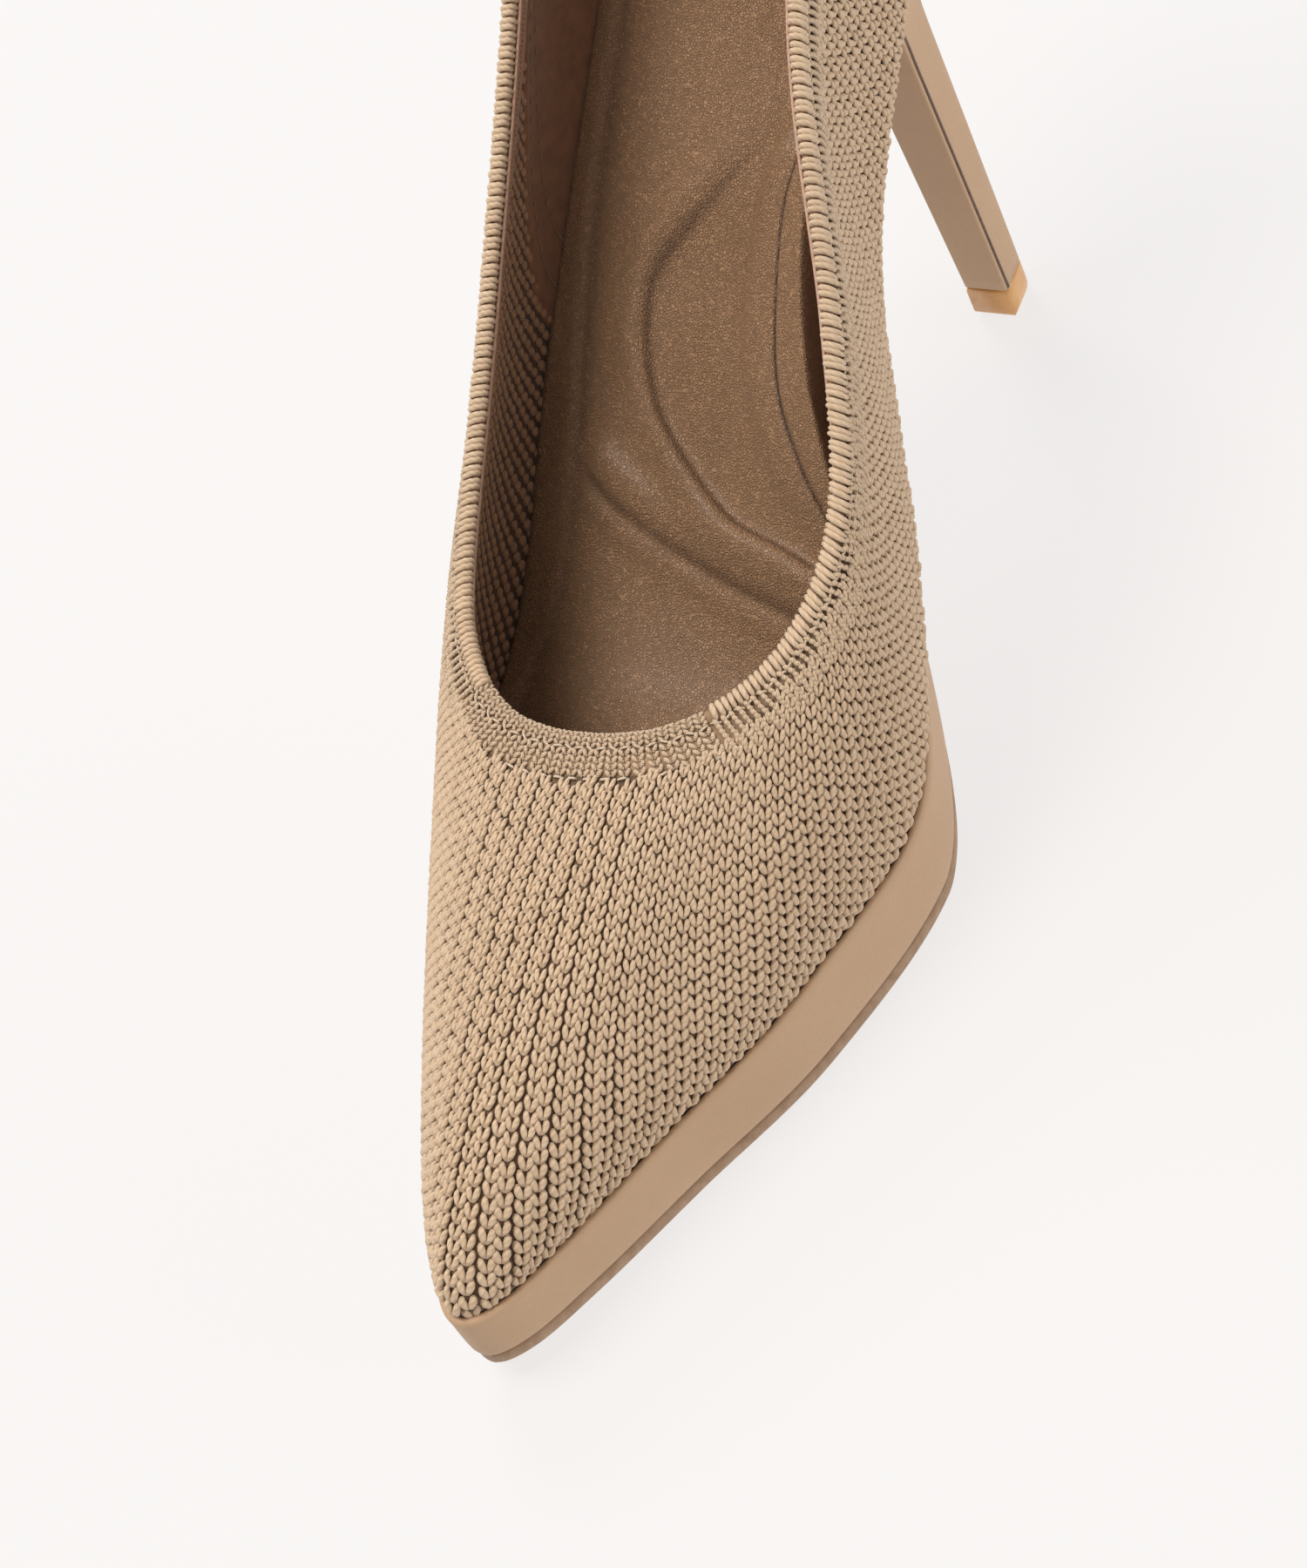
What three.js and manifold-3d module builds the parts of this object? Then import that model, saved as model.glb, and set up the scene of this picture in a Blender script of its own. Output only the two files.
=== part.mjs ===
// Platform stiletto pump for a right foot, knitted upper, in millimetres, +Z up.
// The toe points along -Y, the medial (arch) side is +X, and the shoe stands on Z = 0.
// Shape functions below use "last coordinates": y runs from 0 at the toe tip to lastLength at the heel.
import * as THREE from 'three';
import { mergeVertices } from 'three/addons/utils/BufferGeometryUtils.js';
import Module from 'manifold-3d';

const wasm = await Module();
wasm.setup();

// ---- driving dimensions ----
const lastLength = 236;
const gap = 0.3;                     // clearance kept between touching pieces

const outsoleForefoot = 2.7;         // outsole thickness under the platform
const outsoleWaist = 2.0;            // and under the arch
const platformBall = 17;             // platform height at the ball and at the toe tip
const platformTip = 11.2;
const platformRampEnd = 70;
const toeSpring = 5.6;               // lift of the tip above the floor
const toeSpringEnd = 62;

const treadEnd = 97;                 // the sole leaves the floor here
const waistStart = 157;              // and is down to its waist thickness here
const waistDepth = 3.2;
const bedBendStart = 88;             // footbed slope: flat, then a bend, a straight ramp, and the heel seat
const bedBendEnd = 126;
const bedRamp = 0.94;
const seatBendStart = 185;
const seatBendEnd = 215;
const seatSlope = 0.36;

const knitThickness = 1.2;
const marginWidth = 9;               // knit turned in under the insole board
const marginThickness = 1.0;
const layerInset = 4.0;              // room for knit, stiffener and lining inside the feather line
const boardThickness = 1.6;
const sockThickness = 0.7;
const collarWidth = 7;
const tapeWidth = 9;
const tapeDrop = 1;                  // the tape's upper edge below the topline

const liftCentre = new THREE.Vector2(3.6, 216);
const liftSize = new THREE.Vector3(7.8, 8.5, 7.1);
const heelLean = -0.03;              // forward shift of the heel's axis for each millimetre of height
const heelNeckTop = 66;              // the slim stem ends and the flare to the seat begins
const heelFront = 187;
const coverThickness = 0.8;
const seatInset = 0.6;               // the heel's sides stand this far inside the feather line

const pinRadius = 1;                 // the lift's pin, and the steel tube in the stem that it presses into
const pinLength = 17;
const pinFoot = 2.8;                 // height of the pin's lower end inside the lift
const tubeInner = 1.3;
const tubeOuter = 1.9;
const tubeTop = 81;

const platformEnd = 142;             // the light core tapers out under the arch
const waistNarrowing = { outsole: 8, core: 7 };
const wrapReach = 6.35;              // the wrap runs from this station to the same one on the other side
const wrapBulge = 0.8;

// ---- colours ----
const finishes = {
  knit: { color: 0xc6a987, roughness: 0.95, metalness: 0 },
  rib: { color: 0xbfa17f, roughness: 0.95, metalness: 0 },
  lining: { color: 0x7b6048, roughness: 0.95, metalness: 0 },
  tape: { color: 0x84684e, roughness: 0.95, metalness: 0 },
  suede: { color: 0x6b503b, roughness: 1, metalness: 0 },
  leather: { color: 0x9c7a5b, roughness: 0.55, metalness: 0 },
  wrap: { color: 0xb3927a, roughness: 0.5, metalness: 0 },
  sole: { color: 0x9f8064, roughness: 0.6, metalness: 0 },
  board: { color: 0xb49a78, roughness: 0.9, metalness: 0 },
  foam: { color: 0xd9cdb8, roughness: 1, metalness: 0 },
  steel: { color: 0x8d9096, roughness: 0.35, metalness: 1 },
  plastic: { color: 0xcfc6b8, roughness: 0.6, metalness: 0 },
  lift: { color: 0xc3935c, roughness: 0.35, metalness: 0 },
};

const group = new THREE.Group();

function addPiece(name, geometry, finish) {
  const material = new THREE.MeshStandardMaterial({ name: finish, ...finishes[finish] });
  const mesh = new THREE.Mesh(geometry, material);
  mesh.name = name;
  group.add(mesh);
  return mesh;
}

// ---- small maths ----
const clamp = THREE.MathUtils.clamp;
const lerp = THREE.MathUtils.lerp;
const smooth = THREE.MathUtils.smoothstep;

// height gained along y by a slope that grows evenly from `from` to `to` between a and b, then stays
function rampHeight(y, a, b, from, to) {
  const inside = clamp(y - a, 0, b - a);
  const beyond = Math.max(y - b, 0);
  return from * inside + (to - from) * inside * inside / (2 * (b - a)) + to * beyond;
}

function springHeight(y) {
  return toeSpring * Math.max(1 - y / toeSpringEnd, 0) ** 2;
}

// height of the feather line, where the upper meets the platform
function bedHeight(y) {
  const platform = lerp(platformTip, platformBall, clamp(y / platformRampEnd, 0, 1));
  const rise = rampHeight(y, bedBendStart, bedBendEnd, 0, bedRamp);
  const seat = rampHeight(y, seatBendStart, seatBendEnd, 0, seatSlope - bedRamp);
  return springHeight(y) + outsoleForefoot + platform + rise + seat;
}

// height of the underside of the whole sole
function underHeight(y) {
  if (y < treadEnd) return springHeight(y);
  const depth = lerp(bedHeight(treadEnd), waistDepth, smooth(y, treadEnd, waistStart));
  return bedHeight(y) - depth;
}

function outsoleThickness(y) {
  return lerp(outsoleForefoot, outsoleWaist, smooth(y, treadEnd, waistStart));
}

// ---- the last: feather line and topline, station by station from the toe round the medial side ----
const stationY = [0, 4.5, 17, 38, 64, 96, 128, 162, 197, 226, 236];
const featherMedial = [0, 5.1, 10.6, 18.9, 30.4, 37.7, 32.3, 22.6, 23.6, 17.6, 1];
const featherLateral = [0, -5.3, -12.1, -20.4, -28.8, -38.4, -37.2, -33.4, -27, -15.6, 1];
const toplineY = [80.2, 80.5, 82.7, 88.5, 99.3, 115.8, 137.9, 164, 197, 222, 231];
const toplineMedial = [-0.4, 6.6, 13.8, 21.5, 28.7, 32.8, 30.2, 24, 22.2, 16.6, 1];
const toplineLateral = [-0.4, -7.4, -14.6, -21.9, -28.4, -31, -29.6, -27.4, -24.6, -14.6, 1];
const heightMedial = [37.6, 38.6, 39.1, 39.5, 40.6, 42.4, 45.2, 48.6, 52.5, 54.5, 54];
const heightLateral = [37.6, 37.4, 37.4, 37.8, 38.5, 39.6, 41.4, 44.1, 49.8, 54, 54];
const stations = 20;                 // once round the shoe: 0 = toe tip, 10 = back of the heel
const columnsPerStation = 4;         // shared by every layer of the wall, so that the layers stay parallel

function loopOf(medial, lateral, heights) {
  const points = [];
  for (let i = 0; i < stations; i += 1) {
    const onMedial = i <= 10;
    const k = onMedial ? i : stations - i;
    const x = (onMedial ? medial : lateral)[k];
    points.push(heights ? heights(x, k, onMedial) : new THREE.Vector3(x, stationY[k], 0));
  }
  return new THREE.CatmullRomCurve3(points, true, 'catmullrom', 0.5);
}

const featherLoop = loopOf(featherMedial, featherLateral);
const toplineLoop = loopOf(toplineMedial, toplineLateral, (x, k, onMedial) =>
  new THREE.Vector3(x, toplineY[k], (onMedial ? heightMedial : heightLateral)[k]));

// how far the wall's two handles stand outside the feather line, and more round the back of the heel
const sideBulge = { low: 1.0, high: 1.7, heel: 1.6 };
const handleLow = 0.28;
const handleHigh = 0.21;
const handleBack = 0.47;
const heelRoundStart = 205;

function featherAt(s) {
  const k = ((s % stations) + stations) % stations / stations;
  const step = 0.0005;
  const point = featherLoop.getPoint(k);
  const before = featherLoop.getPoint((k - step + 1) % 1);
  const after = featherLoop.getPoint((k + step) % 1);
  const outward = new THREE.Vector3(after.y - before.y, before.x - after.x, 0).normalize();
  point.z = bedHeight(point.y) + gap;
  return { point, outward };
}

// a point on the outside of the upper: s goes round the shoe, t climbs from feather line to topline
function wallPoint(s, t) {
  const k = ((s % stations) + stations) % stations / stations;
  const { point: foot, outward } = featherAt(s);
  const top = toplineLoop.getPoint(k);
  top.z += bedHeight(top.y);
  const rise = top.z - foot.z;
  const heelRound = sideBulge.heel * smooth(foot.y, heelRoundStart, lastLength);
  const low = foot.clone().addScaledVector(outward, sideBulge.low + heelRound);
  low.z += handleLow * rise;
  const high = top.clone().addScaledVector(outward, sideBulge.high + heelRound);
  high.x -= handleBack * (top.x - foot.x);
  high.y -= handleBack * (top.y - foot.y);
  high.z -= handleHigh * rise;
  return new THREE.CubicBezierCurve3(foot, low, high, top).getPoint(t);
}

function wallNormal(s, t) {
  const step = 0.01;
  const along = wallPoint(s + step, t).sub(wallPoint(s - step, t));
  const up = wallPoint(s, Math.min(t + step, 1)).sub(wallPoint(s, Math.max(t - step, 0)));
  return along.cross(up).normalize();
}

// the value of t that lies a given distance below the topline
function belowTopline(s, distance) {
  const top = wallPoint(s, 1);
  let t = 1;
  let travelled = 0;
  let last = top;
  while (travelled < distance && t > 0.02) {
    t -= 0.005;
    const next = wallPoint(s, t);
    travelled += next.distanceTo(last);
    last = next;
  }
  return t;
}

// ---- solid builders ----
// closed solid between two grids of points; `closed` joins the last column to the first
function solidBetween(outer, inner, closed) {
  const columns = outer.length;
  const rows = outer[0].length;
  const positions = [];
  const faces = [];
  for (const grid of [outer, inner]) {
    for (const column of grid) {
      for (const p of column) positions.push(p.x, p.y, p.z);
    }
  }
  const at = (side, i, j) => side * columns * rows + (i % columns) * rows + j;
  const quad = (a, b, c, d) => faces.push(a, b, c, a, c, d);
  const lastColumn = closed ? columns : columns - 1;
  for (let i = 0; i < lastColumn; i += 1) {
    for (let j = 0; j < rows - 1; j += 1) {
      quad(at(0, i, j), at(0, i + 1, j), at(0, i + 1, j + 1), at(0, i, j + 1));
      quad(at(1, i, j), at(1, i, j + 1), at(1, i + 1, j + 1), at(1, i + 1, j));
    }
    quad(at(0, i, 0), at(1, i, 0), at(1, i + 1, 0), at(0, i + 1, 0));
    quad(at(0, i, rows - 1), at(0, i + 1, rows - 1), at(1, i + 1, rows - 1), at(1, i, rows - 1));
  }
  if (!closed) {
    for (let j = 0; j < rows - 1; j += 1) {
      quad(at(0, 0, j), at(0, 0, j + 1), at(1, 0, j + 1), at(1, 0, j));
      const end = columns - 1;
      quad(at(0, end, j), at(1, end, j), at(1, end, j + 1), at(0, end, j + 1));
    }
  }
  return facingOut(meshFrom(positions, faces));
}

function meshFrom(positions, faces) {
  const geometry = new THREE.BufferGeometry();
  geometry.setAttribute('position', new THREE.Float32BufferAttribute(positions, 3));
  geometry.setIndex(faces);
  return geometry;
}

// loft through closed rings of equal length, with a flat fan at each end
function loft(rings) {
  const count = rings[0].length;
  const positions = [];
  const faces = [];
  for (const ring of rings) {
    for (const p of ring) positions.push(p.x, p.y, p.z);
  }
  for (let i = 0; i < rings.length - 1; i += 1) {
    for (let j = 0; j < count; j += 1) {
      const a = i * count + j;
      const b = i * count + (j + 1) % count;
      faces.push(a, b, b + count, a, b + count, a + count);
    }
  }
  for (const [ring, flip] of [[0, true], [rings.length - 1, false]]) {
    const middle = positions.length / 3;
    const centre = new THREE.Vector3();
    for (const p of rings[ring]) centre.addScaledVector(p, 1 / count);
    positions.push(centre.x, centre.y, centre.z);
    for (let j = 0; j < count; j += 1) {
      const a = ring * count + j;
      const b = ring * count + (j + 1) % count;
      faces.push(...(flip ? [middle, b, a] : [middle, a, b]));
    }
  }
  return facingOut(meshFrom(positions, faces));
}

// turns a closed mesh the right way round
function facingOut(geometry) {
  const p = geometry.attributes.position;
  const index = geometry.index.array;
  const [a, b, c] = [new THREE.Vector3(), new THREE.Vector3(), new THREE.Vector3()];
  let volume = 0;
  for (let i = 0; i < index.length; i += 3) {
    a.fromBufferAttribute(p, index[i]);
    b.fromBufferAttribute(p, index[i + 1]);
    c.fromBufferAttribute(p, index[i + 2]);
    volume += a.dot(b.cross(c));
  }
  if (volume > 0) return geometry;
  return meshFrom(Array.from(p.array), Array.from(index).reverse());
}

function toManifold(geometry) {
  const bare = geometry.clone();
  bare.deleteAttribute('normal');
  bare.deleteAttribute('uv');
  const merged = mergeVertices(bare, 1e-4);
  return new wasm.Manifold(new wasm.Mesh({
    numProp: 3,
    vertProperties: new Float32Array(merged.attributes.position.array),
    triVerts: new Uint32Array(merged.index.array),
  }));
}

function fromManifold(solid) {
  const { vertProperties, triVerts } = solid.getMesh();
  return meshFrom(Array.from(vertProperties), Array.from(triVerts));
}

function cut(geometry, ...tools) {
  let solid = toManifold(geometry);
  for (const tool of tools) solid = solid.subtract(toManifold(tool));
  return fromManifold(solid);
}

// ---- pieces that follow the wall of the last ----
// a layer of the upper from depth `outside` to depth `inside` below the last's skin
function wallLayer({ from, to, rows, low, high, outside, inside }) {
  const columns = Math.round((to - from) * columnsPerStation);
  const closed = to - from >= stations;
  const outer = [];
  const inner = [];
  const count = closed ? columns : columns + 1;
  for (let i = 0; i < count; i += 1) {
    const s = lerp(from, to, i / columns);
    const bottom = low(s);
    const top = high(s);
    const outerColumn = [];
    const innerColumn = [];
    for (let j = 0; j <= rows; j += 1) {
      const t = lerp(bottom, top, j / rows);
      const point = wallPoint(s, t);
      const normal = wallNormal(s, t);
      outerColumn.push(point.clone().addScaledVector(normal, -outside));
      innerColumn.push(point.clone().addScaledVector(normal, -inside));
    }
    outer.push(outerColumn);
    inner.push(innerColumn);
  }
  return { outer, inner, closed };
}

function wallPiece(options) {
  const { outer, inner, closed } = wallLayer(options);
  return solidBetween(outer, inner, closed);
}

// the knit also turns in under the insole board as a lasting margin
function knitUpper() {
  const options = {
    from: 0, to: stations, rows: 6, outside: 0, inside: knitThickness,
    low: () => 0, high: (s) => belowTopline(s, collarWidth + 2 * gap),
  };
  const { outer, inner } = wallLayer(options);
  for (let i = 0; i < outer.length; i += 1) {
    const { point, outward } = featherAt(i / columnsPerStation);
    const sideRoom = 0.7 * Math.abs(point.x) / Math.max(Math.abs(outward.x), 0.2);
    const nearToe = 1 - smooth(point.y, 12, 40);
    const width = lerp(marginWidth, Math.min(marginWidth, Math.max(sideRoom, 3)), nearToe);
    const edge = point.clone().addScaledVector(outward, -width);
    edge.z = bedHeight(edge.y) + gap;
    outer[i].unshift(edge);
    const above = edge.clone();
    above.z += marginThickness;
    inner[i].unshift(above);
    inner[i][1].z = point.z + marginThickness;
  }
  return solidBetween(outer, inner, true);
}

// ---- pieces that lie along the sole ----
// x limits of the feather line at a given y, found on the loop itself
function featherSide(y, medial) {
  let low = medial ? 0 : 10;
  let high = medial ? 10 : 20;
  for (let i = 0; i < 30; i += 1) {
    const middle = (low + high) / 2;
    const here = featherLoop.getPoint(middle / stations).y;
    if ((here < y) === medial) low = middle;
    else high = middle;
  }
  return featherLoop.getPoint((low + high) / 2 / stations).x;
}

// y stations shared by every slab, closer together at the two ends, so that stacked slabs stay parallel
function slices(start, end) {
  const list = [start];
  let y = 0;
  while (y < end) {
    const toEnd = Math.min(y, lastLength - y);
    y += clamp(0.8 + toEnd * 0.25, 0.8, 5);
    if (y > start + 0.3 && y < end - 0.3) list.push(y);
  }
  list.push(end);
  return list;
}

// slab between two heights, following the feather outline moved in by `inset`
function soleSlab({ start, end, inset, waist = 0, left, right, bottom, top, across = 6 }) {
  const rings = slices(start, end).map((y) => {
    const edgeY = clamp(y, 0.1, lastLength - 0.1);
    const arch = smooth(y, treadEnd, waistStart) * (1 - smooth(y, 176, 190)) * waist;
    let xLow = left ? left(y) : featherSide(edgeY, false) + inset + arch;
    let xHigh = right ? right(y) : featherSide(edgeY, true) - inset - arch;
    if (xHigh - xLow < 0.8) {
      const middle = (xLow + xHigh) / 2;
      xLow = middle - 0.4;
      xHigh = middle + 0.4;
    }
    const ring = [];
    for (let j = 0; j <= across; j += 1) {
      const x = lerp(xLow, xHigh, j / across);
      ring.push(new THREE.Vector3(x, y, bottom(y, x)));
    }
    for (let j = across; j >= 0; j -= 1) {
      const x = lerp(xLow, xHigh, j / across);
      ring.push(new THREE.Vector3(x, y, top(y, x)));
    }
    return ring.reverse();
  });
  return loft(rings);
}

// raised shapes under the sock: a crest on the medial arch, a soft forefoot and a heel cup
function archRise(y, x) {
  const along = smooth(y, 104, 138) * (1 - smooth(y, 150, 188));
  const across = smooth(x, -6, 20);
  return 4.2 * along * across;
}

function padRise(y, x) {
  const forefoot = 1.2 * smooth(y, 40, 60) * (1 - smooth(y, 96, 108));
  const heel = 1.6 * smooth(y, 184, 198) * (1 - smooth(y, 222, 230));
  return forefoot + heel + archRise(y, x);
}

const boardBottom = marginThickness + 3 * gap;
const boardTop = boardBottom + boardThickness;

const shankWidth = 11;
const shankStart = 112;
const shankEnd = 214;
const shankCentre = (y) => lerp(-4, 1, smooth(y, shankStart, shankEnd));

// ---- fasteners: lathed about their own axis, head up, origin under the head ----
function fastener(headRadius, headHeight, radius, length, grow = 0) {
  const profile = [
    [0, -length - grow], [radius + grow, -length - grow], [radius + grow, -grow],
    [headRadius + grow, -grow], [headRadius + grow, headHeight + grow], [0, headHeight + grow],
  ];
  const lathe = new THREE.LatheGeometry(profile.map(([r, h]) => new THREE.Vector2(r, h)), 12);
  return lathe.rotateX(Math.PI / 2);
}

// places a fastener square to the footbed at (x, y), with its head sunk to `sink` below the board's top
function placeOnBed(geometry, x, y, sink) {
  const slope = (bedHeight(y + 0.5) - bedHeight(y - 0.5));
  geometry.rotateX(Math.atan(slope));
  geometry.translate(x, y, bedHeight(y) + boardTop - sink);
  return geometry;
}

const screw = { x: 1, y: 209, head: 3.6, headHeight: 1.2, radius: 1.8, length: 17 };
const nail = { head: 1.8, headHeight: 0.8, radius: 0.9, length: 11 };
const nailPlaces = [[-8, 204], [10, 204], [-4.5, 219], [6.5, 219]];
const rivet = { head: 2.2, headHeight: 0.6, radius: 1.3, length: 1.7 };
const rivetPlaces = [['front', 122], ['rear', 196]];

function fastenerAt(kind, x, y, grow) {
  const sink = kind.headHeight + gap;
  return placeOnBed(fastener(kind.head, kind.headHeight, kind.radius, kind.length, grow), x, y, sink);
}

function fastenerHoles() {
  const holes = [fastenerAt(screw, screw.x, screw.y, gap)];
  for (const [x, y] of nailPlaces) holes.push(fastenerAt(nail, x, y, gap));
  return holes;
}

function rivetHoles() {
  return rivetPlaces.map(([, y]) => fastenerAt(rivet, shankCentre(y), y, gap));
}

// ---- heel ----
// The heel is described by points round its outside: step 0 is the medial front corner, then back round
// to the lateral front corner. Level 0 is the foot of the stem, 1 its top, and 2 the footbed's feather line.
const sectionSteps = 16;
const stemPower = 2 / 5.5;
const stemGrowth = { width: 0.8, depth: 1.0 };
const seatMedial = 7.76;
const seatLateral = stations - seatMedial;

function stemPoint(step, z, inset) {
  const climb = clamp((z - liftSize.z) / (heelNeckTop - liftSize.z), 0, 1);
  const axisY = liftCentre.y + heelLean * z;
  const halfWidth = liftSize.x / 2 + stemGrowth.width * climb - inset;
  const halfDepth = liftSize.y / 2 + stemGrowth.depth * climb - inset;
  const angle = Math.PI * step / sectionSteps;
  const side = Math.cos(angle);
  const x = liftCentre.x + halfWidth * Math.sign(side) * Math.abs(side) ** stemPower;
  const y = axisY - halfDepth + 2 * halfDepth * Math.sin(angle) ** stemPower;
  return new THREE.Vector3(x, y, z);
}

function heelPoint(step, level, inset) {
  if (level <= 1) return stemPoint(step, lerp(stemBottom, heelNeckTop, level), inset);
  const stem = stemPoint(step, heelNeckTop, inset);
  const { point: seat, outward } = featherAt(lerp(seatMedial, seatLateral, step / sectionSteps));
  seat.addScaledVector(outward, -seatInset - inset);
  if (step === 0 || step === sectionSteps) {
    seat.y = heelFront + inset;
    seat.z = bedHeight(heelFront) + gap;
  }
  const rise = seat.z - stem.z;
  const above = stem.clone();
  above.z += 0.5 * rise;
  const below = seat.clone().lerp(stem, 0.4);
  below.z = seat.z - 0.16 * rise;
  const curve = new THREE.CubicBezierCurve3(stem, above, below, seat);
  const t = Math.min(level - 1, 1);
  const point = curve.getPoint(t);
  point.z += Math.max(level - 2, 0) * overshoot;
  return point;
}

const stemBottom = liftSize.z + gap;
const overshoot = 8;
const heelLevels = [0, 0.5, 1, 1.2, 1.4, 1.55, 1.7, 1.8, 1.9, 2, 3];

// everything above the heel seat, used to trim the top of the heel
function aboveSeat() {
  const rings = [];
  for (let y = 150; y <= 260; y += 5) {
    const z = bedHeight(y) - gap;
    const corners = [[-60, z], [-60, 240], [60, 240], [60, z]];
    rings.push(corners.map(([x, height]) => new THREE.Vector3(x, y, height)));
  }
  return loft(rings);
}

const blockInset = coverThickness + gap;
const boreCentre = { x: liftCentre.x, y: liftCentre.y - 1 };

function boreCylinder(radius, bottom, top) {
  const bore = new THREE.CylinderGeometry(radius, radius, top - bottom, 12).rotateX(Math.PI / 2);
  return bore.translate(boreCentre.x, boreCentre.y, (bottom + top) / 2);
}

function heelBlock() {
  const rings = heelLevels.map((level) => {
    const ring = [];
    for (let i = 0; i <= sectionSteps; i += 1) ring.push(heelPoint(i, level, blockInset));
    return ring;
  });
  const bore = boreCylinder(tubeOuter + gap, 0, tubeTop + gap);
  return cut(loft(rings), bore, aboveSeat(), ...fastenerHoles());
}

// leather round the sides and back of the heel, leaving its front face to the breast cover
function heelCover() {
  const outer = [];
  const inner = [];
  for (let i = 0; i <= sectionSteps; i += 1) {
    const atFront = i === 0 || i === sectionSteps;
    const shift = atFront ? coverThickness + gap : 0;
    const outside = heelLevels.map((level) => heelPoint(i, level, 0));
    const inside = heelLevels.map((level) => heelPoint(i, level, coverThickness));
    for (const p of outside) p.y += shift;
    inside.forEach((p, j) => { if (atFront) p.y = outside[j].y; });
    outer.push(outside);
    inner.push(inside);
  }
  return cut(solidBetween(outer, inner, false), aboveSeat());
}

function breastCover() {
  const outer = [];
  const inner = [];
  for (const corner of [sectionSteps, 0]) {
    const outside = heelLevels.map((level) => heelPoint(corner, level, 0));
    outer.push(outside);
    inner.push(outside.map((p) => new THREE.Vector3(p.x, p.y + coverThickness, p.z)));
  }
  return cut(solidBetween(outer, inner, false), aboveSeat());
}

function liftRing(inset) {
  const ring = [];
  for (let i = 0; i <= sectionSteps; i += 1) ring.push(stemPoint(i, liftSize.z, inset));
  return ring;
}

function heelLift() {
  const rings = [];
  for (const [z, inset] of [[0, 0.9], [0.9, 0.1], [liftSize.z - 0.6, 0], [liftSize.z, 0.4]]) {
    const section = liftRing(inset);
    rings.push(section.map((p) => new THREE.Vector3(p.x, p.y, z)));
  }
  return cut(loft(rings), boreCylinder(pinRadius + gap, pinFoot - gap, liftSize.z + gap));
}

function heelTube() {
  const profile = [
    [tubeInner, stemBottom], [tubeOuter, stemBottom], [tubeOuter, tubeTop], [tubeInner, tubeTop],
    [tubeInner, stemBottom],
  ];
  const lathe = new THREE.LatheGeometry(profile.map(([r, h]) => new THREE.Vector2(r, h)), 14);
  return lathe.rotateX(Math.PI / 2).translate(boreCentre.x, boreCentre.y, 0);
}

// ---- assembly: sole ----
const platformTop = (y) => bedHeight(y) - 1.6 * gap;
const outsoleTop = (y) => underHeight(y) + outsoleThickness(y);
const coreBottom = (y) => outsoleTop(y) + gap;
const outsoleProud = 0.3;
const coreInset = coverThickness + 1.5 * gap;

addPiece('outsole', soleSlab({
  start: 0.1, end: heelFront, inset: -outsoleProud, waist: waistNarrowing.outsole,
  bottom: underHeight, top: outsoleTop, across: 2,
}), 'sole');

addPiece('platform_core', soleSlab({
  start: 2, end: platformEnd, inset: coreInset, waist: waistNarrowing.core,
  bottom: coreBottom, top: platformTop, across: 2,
}), 'foam');

// strip that wraps the platform's edge, from one side of the waist round the toe to the other
function platformWrap() {
  const outer = [];
  const inner = [];
  const columns = 44;
  for (let i = 0; i <= columns; i += 1) {
    const s = lerp(-wrapReach, wrapReach, i / columns);
    const { point, outward } = featherAt(s);
    const arch = smooth(point.y, treadEnd, waistStart) * waistNarrowing.core * Math.sign(point.x);
    const outerColumn = [];
    const innerColumn = [];
    for (let j = 0; j <= 2; j += 1) {
      const v = j / 2;
      const z = lerp(coreBottom(point.y), platformTop(point.y), v);
      const bulge = wrapBulge * Math.sin(Math.PI * v);
      const outside = point.clone().addScaledVector(outward, bulge);
      const inside = point.clone().addScaledVector(outward, -coverThickness);
      outside.x -= arch;
      inside.x -= arch;
      outside.z = z;
      inside.z = z;
      outerColumn.push(outside);
      innerColumn.push(inside);
    }
    outer.push(outerColumn);
    inner.push(innerColumn);
  }
  return solidBetween(outer, inner, false);
}

addPiece('platform_wrap', platformWrap(), 'wrap');

// ---- assembly: lasting and insole ----
addPiece('knit_upper', knitUpper(), 'knit');

addPiece('insole_board', cut(soleSlab({
  start: 8, end: lastLength - layerInset, inset: layerInset,
  bottom: (y) => bedHeight(y) + boardBottom, top: (y) => bedHeight(y) + boardTop, across: 2,
}), ...fastenerHoles(), ...rivetHoles()), 'board');

const marginRoom = marginWidth + 1.5;
addPiece('bottom_filler', soleSlab({
  start: 34, end: shankStart - 2, inset: marginRoom,
  bottom: (y) => bedHeight(y) + gap, top: (y) => bedHeight(y) + boardBottom - gap, across: 2,
}), 'foam');

addPiece('steel_shank', cut(soleSlab({
  start: shankStart, end: shankEnd,
  left: (y) => shankCentre(y) - shankWidth / 2,
  right: (y) => shankCentre(y) + shankWidth / 2,
  bottom: (y) => bedHeight(y) + gap, top: (y) => bedHeight(y) + boardBottom - gap, across: 2,
}), fastenerAt(screw, screw.x, screw.y, gap), ...rivetHoles()), 'steel');

for (const [end, y] of rivetPlaces) {
  addPiece(`shank_rivet_${end}`, fastenerAt(rivet, shankCentre(y), y, 0), 'steel');
}

// ---- assembly: footbed ----
const padBottom = (y) => bedHeight(y) + boardTop + gap;
const thinnest = 0.35;
const padTop = (y, x) => padBottom(y) + Math.max(padRise(y, x), thinnest);

for (const [name, shape] of [
  ['forefoot_pad', { start: 48, end: 102, inset: layerInset + 3 }],
  ['arch_cookie', { start: 113, end: 182, inset: layerInset + 1, left: () => 0 }],
  ['heel_pad', { start: 190, end: 226, inset: layerInset + 3 }],
]) {
  addPiece(name, soleSlab({ ...shape, bottom: padBottom, top: padTop }), 'foam');
}

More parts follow.
